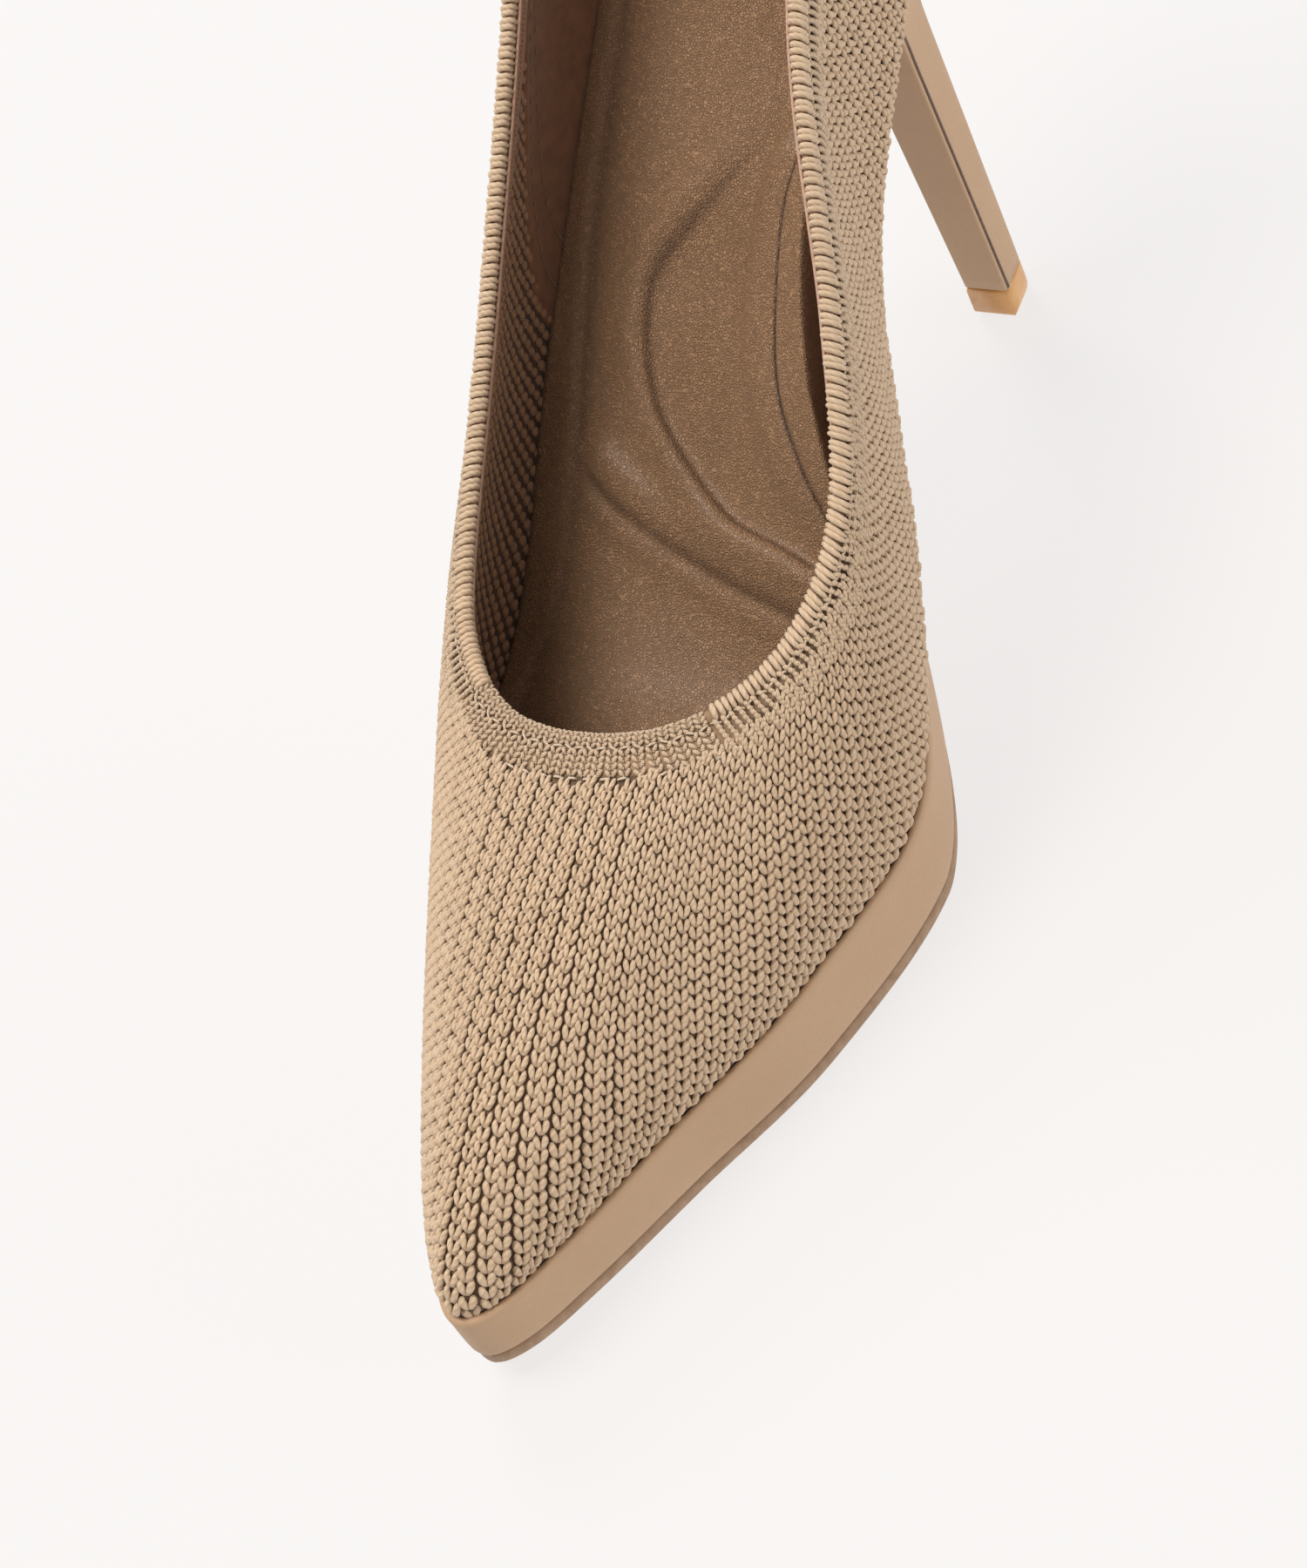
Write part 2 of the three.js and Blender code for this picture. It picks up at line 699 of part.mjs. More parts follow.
const sockUnder = (y, x) => padTop(y, x) + gap;
addPiece('sock_cover', soleSlab({
  start: 12.5, end: lastLength - layerInset - 2, inset: layerInset + 0.5,
  bottom: sockUnder, top: (y, x) => sockUnder(y, x) + sockThickness,
}), 'leather');

// ---- assembly: upper ----
const stiffenerThickness = 0.7;
const liningThickness = 0.5;
const stiffenerDepth = knitThickness + gap;
const liningDepth = stiffenerDepth + stiffenerThickness + gap;
const layers = {
  stiffener: { outside: stiffenerDepth, inside: stiffenerDepth + stiffenerThickness },
  lining: { outside: liningDepth, inside: liningDepth + liningThickness },
  collar: { outside: -0.3, inside: knitThickness + 0.4 },
};
const wallFoot = () => 0.085;
const puffReach = 3.25;

addPiece('collar_rib', wallPiece({
  from: 0, to: stations, rows: 2, ...layers.collar,
  low: (s) => belowTopline(s, collarWidth), high: () => 1,
}), 'rib');

addPiece('toe_puff', wallPiece({
  from: -puffReach, to: puffReach, rows: 3, ...layers.stiffener,
  low: wallFoot, high: (s) => lerp(0.5, 0.2, Math.abs(s) / puffReach),
}), 'board');

addPiece('heel_counter', wallPiece({
  from: 7.5, to: 12.5, rows: 3, ...layers.stiffener,
  low: wallFoot, high: (s) => belowTopline(s, collarWidth + 2 + 6 * Math.abs(s - stations / 2)),
}), 'plastic');

const liningTop = (s) => belowTopline(s, tapeWidth + 2 * gap);
const liningJoint = 0.02;
for (const [name, from, to] of [
  ['vamp_lining', -4.5, 4.5],
  ['quarter_lining_medial', 4.5, 7],
  ['quarter_lining_lateral', 13, 15.5],
  ['heel_grip', 7, 13],
]) {
  addPiece(name, wallPiece({
    from: from + liningJoint, to: to - liningJoint, rows: 3, ...layers.lining,
    low: wallFoot, high: liningTop,
  }), name === 'heel_grip' ? 'suede' : 'lining');
}

addPiece('topline_tape', wallPiece({
  from: 0, to: stations, rows: 1, ...layers.lining,
  low: (s) => belowTopline(s, tapeWidth), high: (s) => belowTopline(s, tapeDrop),
}), 'tape');

// ---- assembly: heel ----
addPiece('heel_block', heelBlock(), 'plastic');
addPiece('heel_cover', heelCover(), 'wrap');
addPiece('heel_breast_cover', breastCover(), 'wrap');
addPiece('heel_tube', heelTube(), 'steel');
addPiece('heel_lift', heelLift(), 'lift');
addPiece('lift_pin', boreCylinder(pinRadius, pinFoot, pinFoot + pinLength), 'steel');
addPiece('heel_screw', fastenerAt(screw, screw.x, screw.y, 0), 'steel');
nailPlaces.forEach(([x, y], i) => {
  addPiece(`heel_nail_${i + 1}`, fastenerAt(nail, x, y, 0), 'steel');
});

// stand the shoe on the middle of its own footprint
const extent = new THREE.Box3().setFromObject(group);
const middle = extent.getCenter(new THREE.Vector3());
group.position.set(-middle.x, -middle.y, -extent.min.z);
group.updateMatrixWorld(true);

export default group;
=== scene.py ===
import math

import bmesh
import bpy
import numpy as np
from mathutils import Matrix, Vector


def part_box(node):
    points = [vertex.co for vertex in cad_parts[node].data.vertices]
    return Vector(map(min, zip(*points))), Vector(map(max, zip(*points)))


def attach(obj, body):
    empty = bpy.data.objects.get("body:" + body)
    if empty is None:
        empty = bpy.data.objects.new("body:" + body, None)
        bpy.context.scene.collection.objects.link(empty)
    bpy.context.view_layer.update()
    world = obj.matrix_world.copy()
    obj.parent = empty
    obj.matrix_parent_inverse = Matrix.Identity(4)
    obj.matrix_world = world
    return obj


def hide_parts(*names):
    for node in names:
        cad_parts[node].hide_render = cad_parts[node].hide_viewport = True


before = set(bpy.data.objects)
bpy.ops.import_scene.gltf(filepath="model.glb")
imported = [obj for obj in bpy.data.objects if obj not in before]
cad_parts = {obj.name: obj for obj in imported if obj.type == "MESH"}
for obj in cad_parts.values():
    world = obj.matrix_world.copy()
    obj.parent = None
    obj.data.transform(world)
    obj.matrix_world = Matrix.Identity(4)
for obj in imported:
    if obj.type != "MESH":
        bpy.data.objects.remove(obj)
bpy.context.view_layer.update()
scene = bpy.context.scene

# the last: the shape the whole shoe is built on
# worked in millimetres with y = 0 at the toe tip and z = 0 on the floor; toRow() turns that into the frame's metres

last = {
    "length": 236.0,
    "stations": 20,  # once round: 0 at the toe, 0..10 medial side, 10 at the back of the heel
    "gap": 0.3,
    "outsole": 2.7,
    "waistSole": 2.0,
    "platformTip": 11.2,
    "platformBall": 17.0,
    "platformRampEnd": 70.0,
    "toeSpring": 5.6,
    "toeSpringEnd": 62.0,
    "treadEnd": 97.0,
    "waistStart": 157.0,
    "waistDepth": 3.2,
    "bend": (88.0, 126.0),
    "bedRamp": 0.94,
    "seatBend": (185.0, 215.0),
    "seatSlope": 0.36,
    "heelFront": 187.0,
    "liftX": 3.6,
    "outsoleTip": 0.1,
}
stationY = [0, 4.5, 17, 38, 64, 96, 128, 162, 197, 226, 236]
featherMedial = [0, 5.1, 10.6, 18.9, 30.4, 37.7, 32.3, 22.6, 23.6, 17.6, 1]
featherLateral = [0, -5.3, -12.1, -20.4, -28.8, -38.4, -37.2, -33.4, -27, -15.6, 1]
toplineY = [80.2, 80.5, 82.7, 88.5, 99.3, 115.8, 137.9, 164, 197, 222, 231]
toplineMedial = [-0.4, 6.6, 13.8, 21.5, 28.7, 32.8, 30.2, 24, 22.2, 16.6, 1]
toplineLateral = [-0.4, -7.4, -14.6, -21.9, -28.4, -31, -29.6, -27.4, -24.6, -14.6, 1]
heightMedial = [37.6, 38.6, 39.1, 39.5, 40.6, 42.4, 45.2, 48.6, 52.5, 54.5, 54]
heightLateral = [37.6, 37.4, 37.4, 37.8, 38.5, 39.6, 41.4, 44.1, 49.8, 54, 54]

liftLow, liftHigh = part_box("heel_lift")
outsoleLow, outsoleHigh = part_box("outsole")
rowShift = np.array([
    (liftLow.x + liftHigh.x) / 2 - last["liftX"] / 1000,
    outsoleLow.y - last["outsoleTip"] / 1000,
    0.0,
])


def toRow(points):
    return np.asarray(points, float) / 1000 + rowShift


def smooth(value, start, end):
    k = np.clip((np.asarray(value, float) - start) / (end - start), 0, 1)
    return k * k * (3 - 2 * k)


def mix(a, b, k):
    return a + (b - a) * k


def unit(v):
    return v / np.maximum(np.linalg.norm(v, axis=-1, keepdims=True), 1e-9)


def rampHeight(y, span, slopeFrom, slopeTo):
    start, end = span
    inside = np.clip(y - start, 0, end - start)
    curve = slopeFrom * inside + (slopeTo - slopeFrom) * inside**2 / (2 * (end - start))
    return curve + slopeTo * np.maximum(y - end, 0)


def springHeight(y):
    return last["toeSpring"] * np.maximum(1 - np.asarray(y, float) / last["toeSpringEnd"], 0) ** 2


def bedHeight(y):
    y = np.asarray(y, float)
    platform = mix(last["platformTip"], last["platformBall"], np.clip(y / last["platformRampEnd"], 0, 1))
    rise = rampHeight(y, last["bend"], 0, last["bedRamp"])
    seat = rampHeight(y, last["seatBend"], 0, last["seatSlope"] - last["bedRamp"])
    return springHeight(y) + last["outsole"] + platform + rise + seat


def underHeight(y):
    y = np.asarray(y, float)
    deep = float(bedHeight(last["treadEnd"]))
    depth = mix(deep, last["waistDepth"], smooth(y, last["treadEnd"], last["waistStart"]))
    return np.where(y < last["treadEnd"], springHeight(y), bedHeight(y) - depth)


def outsoleThickness(y):
    return mix(last["outsole"], last["waistSole"], smooth(y, last["treadEnd"], last["waistStart"]))


def loopPoints(medial, lateral, place):
    rows = []
    for i in range(last["stations"]):
        onMedial = i <= 10
        k = i if onMedial else last["stations"] - i
        rows.append(place((medial if onMedial else lateral)[k], k, onMedial))
    return np.array(rows, float)


featherLoop = loopPoints(featherMedial, featherLateral, lambda x, k, onMedial: (x, stationY[k], 0))
toplineLoop = loopPoints(
    toplineMedial, toplineLateral,
    lambda x, k, onMedial: (x, toplineY[k], (heightMedial if onMedial else heightLateral)[k]),
)


def spline(before, start, end, after, w):
    # Catmull-Rom from start to end
    leave, arrive = 0.5 * (end - before), 0.5 * (after - start)
    cubic = (2 * start - 2 * end + leave + arrive) * w**3
    return start + leave * w + (3 * end - 3 * start - 2 * leave - arrive) * w**2 + cubic


def closedCurve(points, s):
    # through a closed loop, one point for each station
    s = np.asarray(s, float) % len(points)
    i = np.floor(s).astype(int) % len(points)
    w = (s - np.floor(s))[..., None]
    return spline(*[points[(i + step) % len(points)] for step in (-1, 0, 1, 2)], w)


def featherAt(s):
    point = closedCurve(featherLoop, s).copy()
    ahead = closedCurve(featherLoop, np.asarray(s) + 0.01) - closedCurve(featherLoop, np.asarray(s) - 0.01)
    outward = unit(np.stack([ahead[..., 1], -ahead[..., 0], 0 * ahead[..., 0]], -1))
    point[..., 2] = bedHeight(point[..., 1]) + last["gap"]
    return point, outward


def wallAt(s, t):
    # outside of the upper: s round the shoe, t from the feather line up to the topline
    s, t = np.broadcast_arrays(np.asarray(s, float), np.asarray(t, float))
    foot, outward = featherAt(s)
    top = closedCurve(toplineLoop, s).copy()
    top[..., 2] += bedHeight(top[..., 1])
    rise = top[..., 2] - foot[..., 2]
    heelRound = 1.6 * smooth(foot[..., 1], 205, last["length"])
    low = foot + outward * (1.0 + heelRound)[..., None]
    low[..., 2] += 0.28 * rise
    high = top + outward * (1.7 + heelRound)[..., None]
    high[..., :2] -= 0.47 * (top - foot)[..., :2]
    high[..., 2] -= 0.21 * rise
    t = t[..., None]
    return (1 - t) ** 3 * foot + 3 * (1 - t) ** 2 * t * low + 3 * (1 - t) * t * t * high + t**3 * top


def wallSlopes(s, t, step=0.01):
    upper = np.minimum(t + step, 1)
    lower = np.maximum(t - step, 0)
    alongS = (wallAt(s + step, t) - wallAt(s - step, t)) / (2 * step)
    alongT = (wallAt(s, upper) - wallAt(s, lower)) / (upper - lower)[..., None]
    return alongS, alongT


def wallNormal(s, t):
    s, t = np.broadcast_arrays(np.asarray(s, float), np.asarray(t, float))
    alongS, alongT = wallSlopes(s, t)
    return unit(np.cross(alongS, alongT))


# distance below the topline for a grid of s and t, looked up both ways
gaugeS = np.linspace(-10, 10, 401)
gaugeT = np.linspace(0, 1, 201)
gaugePoints = wallAt(gaugeS[:, None], gaugeT[None, :])
gaugeSteps = np.linalg.norm(np.diff(gaugePoints, axis=1), axis=-1)
gaugeDrop = np.zeros(gaugePoints.shape[:2])
gaugeDrop[:, :-1] = np.cumsum(gaugeSteps[:, ::-1], axis=1)[:, ::-1]


def wrapped(s):
    return (np.asarray(s, float) + 10) % 20 - 10


def readGrid(grid, s, t):
    # bilinear value of a grid that spans s -10..10 and t 0..1
    across, up = grid.shape[0] - 1, grid.shape[1] - 1
    x = np.clip((np.asarray(s, float) + 10) / 20 * across, 0, across - 1e-6)
    y = np.clip(np.asarray(t, float) * up, 0, up - 1e-6)
    i, j = x.astype(int), y.astype(int)
    u, v = x - i, y - j
    low = grid[i, j] * (1 - u) + grid[i + 1, j] * u
    high = grid[i, j + 1] * (1 - u) + grid[i + 1, j + 1] * u
    return low * (1 - v) + high * v


def tBelow(s, drop):
    # the t that lies `drop` millimetres below the topline at each s
    s = np.atleast_1d(wrapped(s))
    drop = np.broadcast_to(np.asarray(drop, float), s.shape)
    column = np.clip((s + 10) / 20 * (len(gaugeS) - 1), 0, len(gaugeS) - 1.000001)
    k = column.astype(int)
    w = column - k
    out = np.empty(s.shape)
    for n in range(len(s)):
        profile = gaugeDrop[k[n]] * (1 - w[n]) + gaugeDrop[k[n] + 1] * w[n]
        out[n] = np.interp(-drop[n], -profile, gaugeT)
    return out


# meshes

def addObject(name, data):
    thing = bpy.data.objects.new(name, data)
    scene.collection.objects.link(thing)
    return thing


def makePiece(name, points, faces, finish):
    mesh = bpy.data.meshes.new(name)
    mesh.from_pydata(toRow(points).tolist(), [], faces)
    mesh.update()
    piece = addObject(name, mesh)
    turnOutwards(piece)
    mesh.shade_smooth()
    mesh.materials.append(finish)
    return piece


def turnOutwards(piece):
    work = bmesh.new()
    work.from_mesh(piece.data)
    bmesh.ops.recalc_face_normals(work, faces=work.faces)
    if work.calc_volume(signed=True) < 0:
        bmesh.ops.reverse_faces(work, faces=work.faces)
    work.to_mesh(piece.data)
    work.free()


def ringFaces(count, size, closedPath):
    # quads between rings of points, numbered ring by ring
    i = np.arange(count if closedPath else count - 1)[:, None]
    j = np.arange(size)[None, :]
    nextI, nextJ = (i + 1) % count, (j + 1) % size
    quads = np.stack([i * size + j, nextI * size + j, nextI * size + nextJ, i * size + nextJ], -1)
    return quads.reshape(-1, 4).tolist()


def sweep(name, rings, finish, closedPath=False):
    # rings: path x ring x 3, every ring a closed outline; an open path is capped at both ends
    rings = np.asarray(rings, float)
    count, size = rings.shape[:2]
    faces = ringFaces(count, size, closedPath)
    if not closedPath:
        faces.append(list(range(size)))
        faces.append([(count - 1) * size + k for k in range(size)][::-1])
    return makePiece(name, rings.reshape(-1, 3), faces, finish)


def shell(name, outer, inner, finish, closed=False):
    # a closed skin between two grids of points, path x profile x 3
    outer, inner = np.asarray(outer, float), np.asarray(inner, float)
    rings = np.concatenate([outer, inner[:, ::-1]], axis=1)
    return sweep(name, rings, finish, closedPath=closed)


def hand(piece, slot, *nodes):
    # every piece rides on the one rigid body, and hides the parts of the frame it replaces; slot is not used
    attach(piece, "root")
    if nodes:
        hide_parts(*nodes)
    return piece


# shader groups and materials

def fromSrgb(r, g, b):
    def channel(value):
        value /= 255
        return value / 12.92 if value <= 0.04045 else ((value + 0.055) / 1.055) ** 2.4
    return (channel(r), channel(g), channel(b), 1.0)


def newGroup(name, inputs, outputs):
    group = bpy.data.node_groups.new(name, "ShaderNodeTree")
    for label, value in inputs.items():
        kind = "NodeSocketVector" if isinstance(value, tuple) else "NodeSocketFloat"
        socket = group.interface.new_socket(label, in_out="INPUT", socket_type=kind)
        socket.default_value = value
    for label in outputs:
        group.interface.new_socket(label, in_out="OUTPUT", socket_type="NodeSocketFloat")
    return group, group.nodes.new("NodeGroupInput"), group.nodes.new("NodeGroupOutput")


def addNode(tree, kind, settings=None, **inputs):
    node = tree.nodes.new(kind)
    for key, value in (settings or {}).items():
        setattr(node, key, value)
    for key, value in inputs.items():
        socket = node.inputs[int(key[1:])] if key[0] == "i" and key[1:].isdigit() else node.inputs[key]
        if isinstance(value, bpy.types.NodeSocket):
            tree.links.new(value, socket)
        else:
            socket.default_value = value
    return node


def maths(tree, operation, a, b=0.0, c=0.0):
    return addNode(tree, "ShaderNodeMath", {"operation": operation}, i0=a, i1=b, i2=c).outputs[0]


def remap(tree, value, low, high, outLow=0.0, outHigh=1.0):
    node = addNode(tree, "ShaderNodeMapRange", {"interpolation_type": "SMOOTHSTEP"}, i0=value)
    for index, amount in enumerate((low, high, outLow, outHigh), start=1):
        node.inputs[index].default_value = amount
    return node.outputs[0]


def buildLeatherGrain():
    # fine pebble of coated leather: Height for the bump, Shade for painted shade in the creases between pebbles
    group, given, out = newGroup("leatherGrain", {"Position": (0.0, 0.0, 0.0), "Cells per metre": 1700.0},
                                 ["Height", "Shade"])
    scale = given.outputs["Cells per metre"]
    drift = addNode(group, "ShaderNodeTexNoise", Vector=given.outputs["Position"], Scale=900.0, Detail=2.0)
    bend = addNode(group, "ShaderNodeVectorMath", {"operation": "SCALE"}, i0=drift.outputs["Color"], Scale=0.0006)
    moved = addNode(group, "ShaderNodeVectorMath", {"operation": "ADD"},
                    i0=given.outputs["Position"], i1=bend.outputs[0])
    cells = addNode(group, "ShaderNodeTexVoronoi", {"feature": "DISTANCE_TO_EDGE"},
                    Vector=moved.outputs[0], Scale=scale)
    pebble = remap(group, cells.outputs["Distance"], 0.0, 0.28)
    fine = addNode(group, "ShaderNodeTexNoise", Vector=given.outputs["Position"], Scale=5200.0, Detail=3.0)
    height = maths(group, "MULTIPLY_ADD", fine.outputs[0], 0.25, pebble)
    group.links.new(height, out.inputs["Height"])
    group.links.new(maths(group, "SUBTRACT", 1.0, pebble), out.inputs["Shade"])
    return group


def buildSoftMottle():
    # slow change of colour over a few centimetres
    group, given, out = newGroup("softMottle", {"Position": (0.0, 0.0, 0.0), "Scale": 60.0}, ["Shade"])
    clouds = addNode(group, "ShaderNodeTexNoise", Vector=given.outputs["Position"],
                     Scale=given.outputs["Scale"], Detail=4.0, Roughness=0.6)
    group.links.new(remap(group, clouds.outputs[0], 0.3, 0.7), out.inputs["Shade"])
    return group


def buildYarnTwist():
    # plies winding round a yarn whose own UV runs along it (u) and round it (v)
    group, given, out = newGroup("yarnTwist", {"Uv": (0.0, 0.0, 0.0), "Position": (0.0, 0.0, 0.0),
                                               "Turns": 3.0, "Fuzz": 0.5}, ["Height", "Shade"])
    parts = addNode(group, "ShaderNodeSeparateXYZ", i0=given.outputs["Uv"])
    along = maths(group, "MULTIPLY", parts.outputs[0], given.outputs["Turns"])
    plies = maths(group, "MULTIPLY_ADD", parts.outputs[1], 2.0, along)
    wave = maths(group, "SINE", maths(group, "MULTIPLY", plies, 2 * math.pi))
    ridge = maths(group, "MULTIPLY_ADD", wave, 0.5, 0.5)
    fibres = addNode(group, "ShaderNodeTexNoise", Vector=given.outputs["Position"], Scale=7000.0, Detail=3.0)
    fuzzed = maths(group, "MULTIPLY", fibres.outputs[0], given.outputs["Fuzz"])
    group.links.new(maths(group, "ADD", ridge, fuzzed), out.inputs["Height"])
    # Shade is painted shade in the grooves between the plies
    group.links.new(maths(group, "SUBTRACT", 1.0, ridge), out.inputs["Shade"])
    return group


def buildNap():
    # short brushed fibres, as on micro-suede
    group, given, out = newGroup("nap", {"Position": (0.0, 0.0, 0.0), "Scale": 2600.0}, ["Height", "Shade"])
    tufts = addNode(group, "ShaderNodeTexNoise", Vector=given.outputs["Position"],
                    Scale=given.outputs["Scale"], Detail=5.0, Roughness=0.75)
    patches = addNode(group, "ShaderNodeTexNoise", Vector=given.outputs["Position"], Scale=420.0, Detail=3.0)
    group.links.new(tufts.outputs[0], out.inputs["Height"])
    blend = maths(group, "MULTIPLY_ADD", patches.outputs[0], 0.6, maths(group, "MULTIPLY", tufts.outputs[0], 0.5))
    group.links.new(remap(group, blend, 0.3, 0.8), out.inputs["Shade"])
    return group


leatherGrain = buildLeatherGrain()
softMottle = buildSoftMottle()
yarnTwist = buildYarnTwist()
nap = buildNap()


def newMaterial(name, roughness, **constants):
    material = bpy.data.materials.new(name)
    material.use_nodes = True
    tree = material.node_tree
    shader = tree.nodes["Principled BSDF"]
    shader.inputs["Roughness"].default_value = roughness
    for label, value in constants.items():
        socketName = "".join(" " + letter if letter.isupper() else letter for letter in label).strip().title()
        shader.inputs[socketName].default_value = value
    return material, tree, shader


def mixColours(tree, low, high, factor):
    node = addNode(tree, "ShaderNodeMix", {"data_type": "RGBA"}, i0=factor, i6=low, i7=high)
    return node.outputs[2]


def addBump(tree, shader, height, depth, strength=1.0):
    bump = addNode(tree, "ShaderNodeBump", Strength=strength, Distance=depth, Height=height)
    tree.links.new(bump.outputs[0], shader.inputs["Normal"])


def objectPosition(tree):
    return addNode(tree, "ShaderNodeTexCoord").outputs["Object"]


def placeGroup(tree, group, **inputs):
    node = tree.nodes.new("ShaderNodeGroup")
    node.node_tree = group
    for label, value in inputs.items():
        socket = node.inputs[label.replace("_", " ")]
        if isinstance(value, bpy.types.NodeSocket):
            tree.links.new(value, socket)
        else:
            socket.default_value = value
    return node


def yarnMaterial(name, colour, shadow, turns=3.0, plyShade=0.35, sheen=0.25, roughness=0.8, fuzz=0.5):
    # dyed yarn: each stitch has its own tint, and painted shade darkens the grooves between the plies
    material, tree, shader = newMaterial(name, roughness, sheenWeight=sheen, sheenRoughness=0.5)
    position = objectPosition(tree)
    uv = addNode(tree, "ShaderNodeUVMap", {"uv_map": "UVMap"}).outputs[0]
    plies = placeGroup(tree, yarnTwist, Uv=uv, Position=position, Turns=turns, Fuzz=fuzz)
    mottle = placeGroup(tree, softMottle, Position=position, Scale=45.0)
    tint = addNode(tree, "ShaderNodeAttribute", {"attribute_name": "tint"}).outputs["Fac"]
    worn = maths(tree, "MULTIPLY_ADD", mottle.outputs["Shade"], 0.25, maths(tree, "MULTIPLY", tint, 0.6))
    # mix factor: painted shade in the ply grooves, plus random tone from the mottle and each stitch's tint
    plyShadeAndTone = maths(tree, "MULTIPLY_ADD", plies.outputs["Shade"], plyShade, maths(tree, "MULTIPLY", worn, 0.35))
    tree.links.new(mixColours(tree, colour, shadow, plyShadeAndTone), shader.inputs["Base Color"])
    addBump(tree, shader, plies.outputs["Height"], 0.00009)
    return material


def leatherMaterial(name, colour, deep, roughness, cells, grainDepth, coat=0.0, mottle=0.35, creaseShadeColour=None):
    material, tree, shader = newMaterial(name, roughness, coatWeight=coat, coatRoughness=0.35)
    position = objectPosition(tree)
    grain = placeGroup(tree, leatherGrain, Position=position, Cells_per_metre=cells)
    clouds = placeGroup(tree, softMottle, Position=position, Scale=38.0)
    # grain Shade paints shade into the creases between pebbles; the clouds are random tone
    depth = maths(tree, "MULTIPLY_ADD", grain.outputs["Shade"], 0.25,
                  maths(tree, "MULTIPLY", clouds.outputs["Shade"], mottle))
    tone = mixColours(tree, colour, deep, depth)
    # painted shade: a dark colour laid into the footbed's creases and seam groove
    if creaseShadeColour:
        creaseShade = addNode(tree, "ShaderNodeAttribute", {"attribute_name": "creaseShade"}).outputs["Fac"]
        tone = mixColours(tree, tone, creaseShadeColour, creaseShade)
    tree.links.new(tone, shader.inputs["Base Color"])
    rough = maths(tree, "MULTIPLY_ADD", grain.outputs["Shade"], 0.15, roughness)
    tree.links.new(rough, shader.inputs["Roughness"])
    addBump(tree, shader, grain.outputs["Height"], grainDepth)
    return material


def napMaterial(name, colour, deep, scale=2600.0, depth=0.00012, sheen=0.3):
    material, tree, shader = newMaterial(name, 0.95, sheenWeight=sheen, sheenRoughness=0.4)
    position = objectPosition(tree)
    fibres = placeGroup(tree, nap, Position=position, Scale=scale)
    tree.links.new(mixColours(tree, colour, deep, fibres.outputs["Shade"]), shader.inputs["Base Color"])
    addBump(tree, shader, fibres.outputs["Height"], depth)
    return material


def solidMaterial(name, colour, deep, roughness, scale=300.0, depth=0.00002, metallic=0.0, stretch=(1, 1, 1),
                  **constants):
    # moulded, cast or drawn stock: noise in the colour, the roughness and a very fine bump
    material, tree, shader = newMaterial(name, roughness, metallic=metallic, **constants)
    place = addNode(tree, "ShaderNodeMapping", i0=objectPosition(tree))
    place.inputs["Scale"].default_value = stretch
    noise = addNode(tree, "ShaderNodeTexNoise", Vector=place.outputs[0], Scale=scale, Detail=5.0, Roughness=0.6)
    mask = remap(tree, noise.outputs[0], 0.3, 0.7)
    tree.links.new(mixColours(tree, colour, deep, mask), shader.inputs["Base Color"])
    rough = maths(tree, "MULTIPLY_ADD", mask, 0.12, roughness - 0.06)
    tree.links.new(rough, shader.inputs["Roughness"])
    addBump(tree, shader, noise.outputs[0], depth)
    return material


yarnFinish = {
    "knit": fromSrgb(216, 189, 158),
    "knitShadow": fromSrgb(182, 152, 120),
    # painted shade: the dark ground seen through the holes between the stitches
    "holeShade": fromSrgb(122, 96, 71),
    "holeShadeDeep": fromSrgb(94, 71, 51),
    "thread": fromSrgb(226, 205, 178),
    "lining": fromSrgb(176, 134, 98),
    "liningShadow": fromSrgb(134, 98, 68),
    "tape": fromSrgb(186, 140, 104),
    "tapeDeep": fromSrgb(152, 112, 82),
    "suede": fromSrgb(150, 106, 74),
    "suedeDeep": fromSrgb(120, 84, 58),
}
knitYarn = yarnMaterial("knitYarn", yarnFinish["knit"], yarnFinish["knitShadow"])
ribYarn = yarnMaterial("ribYarn", yarnFinish["knit"], yarnFinish["knitShadow"], turns=5.0, plyShade=0.3)
seamThread = yarnMaterial("seamThread", yarnFinish["thread"], yarnFinish["knit"], turns=8.0, sheen=0.1,
                          roughness=0.45)
liningYarn = yarnMaterial("liningYarn", yarnFinish["lining"], yarnFinish["liningShadow"], turns=2.0, sheen=0.3,
                          roughness=0.7)
liningThread = yarnMaterial("liningThread", fromSrgb(150, 122, 98), yarnFinish["lining"], turns=8.0, sheen=0.1,
                            roughness=0.5)
# the knit's dark ground is painted shade for the holes between the stitches
knitGroundShade = napMaterial("knitGroundShade", yarnFinish["holeShade"], yarnFinish["holeShadeDeep"], scale=1500.0)
ribGround = napMaterial("ribGround", fromSrgb(168, 138, 108), fromSrgb(140, 112, 86), scale=1500.0)
liningGround = napMaterial("liningGround", fromSrgb(100, 72, 50), fromSrgb(76, 54, 37), scale=1500.0)
tapeCloth = napMaterial("tapeCloth", yarnFinish["tape"], yarnFinish["tapeDeep"], scale=1800.0, depth=0.00008)
suede = napMaterial("suede", yarnFinish["suede"], yarnFinish["suedeDeep"])
sockLeather = leatherMaterial("sockLeather", fromSrgb(178, 138, 104), fromSrgb(160, 122, 88), 0.4, 2200.0, 0.0003,
                              coat=0.16, creaseShadeColour=fromSrgb(70, 48, 33))
wrapLeather = leatherMaterial("wrapLeather", fromSrgb(194, 160, 126), fromSrgb(179, 144, 111), 0.48, 3000.0,
                              0.000015, coat=0.06, mottle=0.3)
soleSheet = solidMaterial("soleSheet", fromSrgb(170, 138, 109), fromSrgb(154, 122, 94), 0.55, scale=500.0,
                          depth=0.00003)
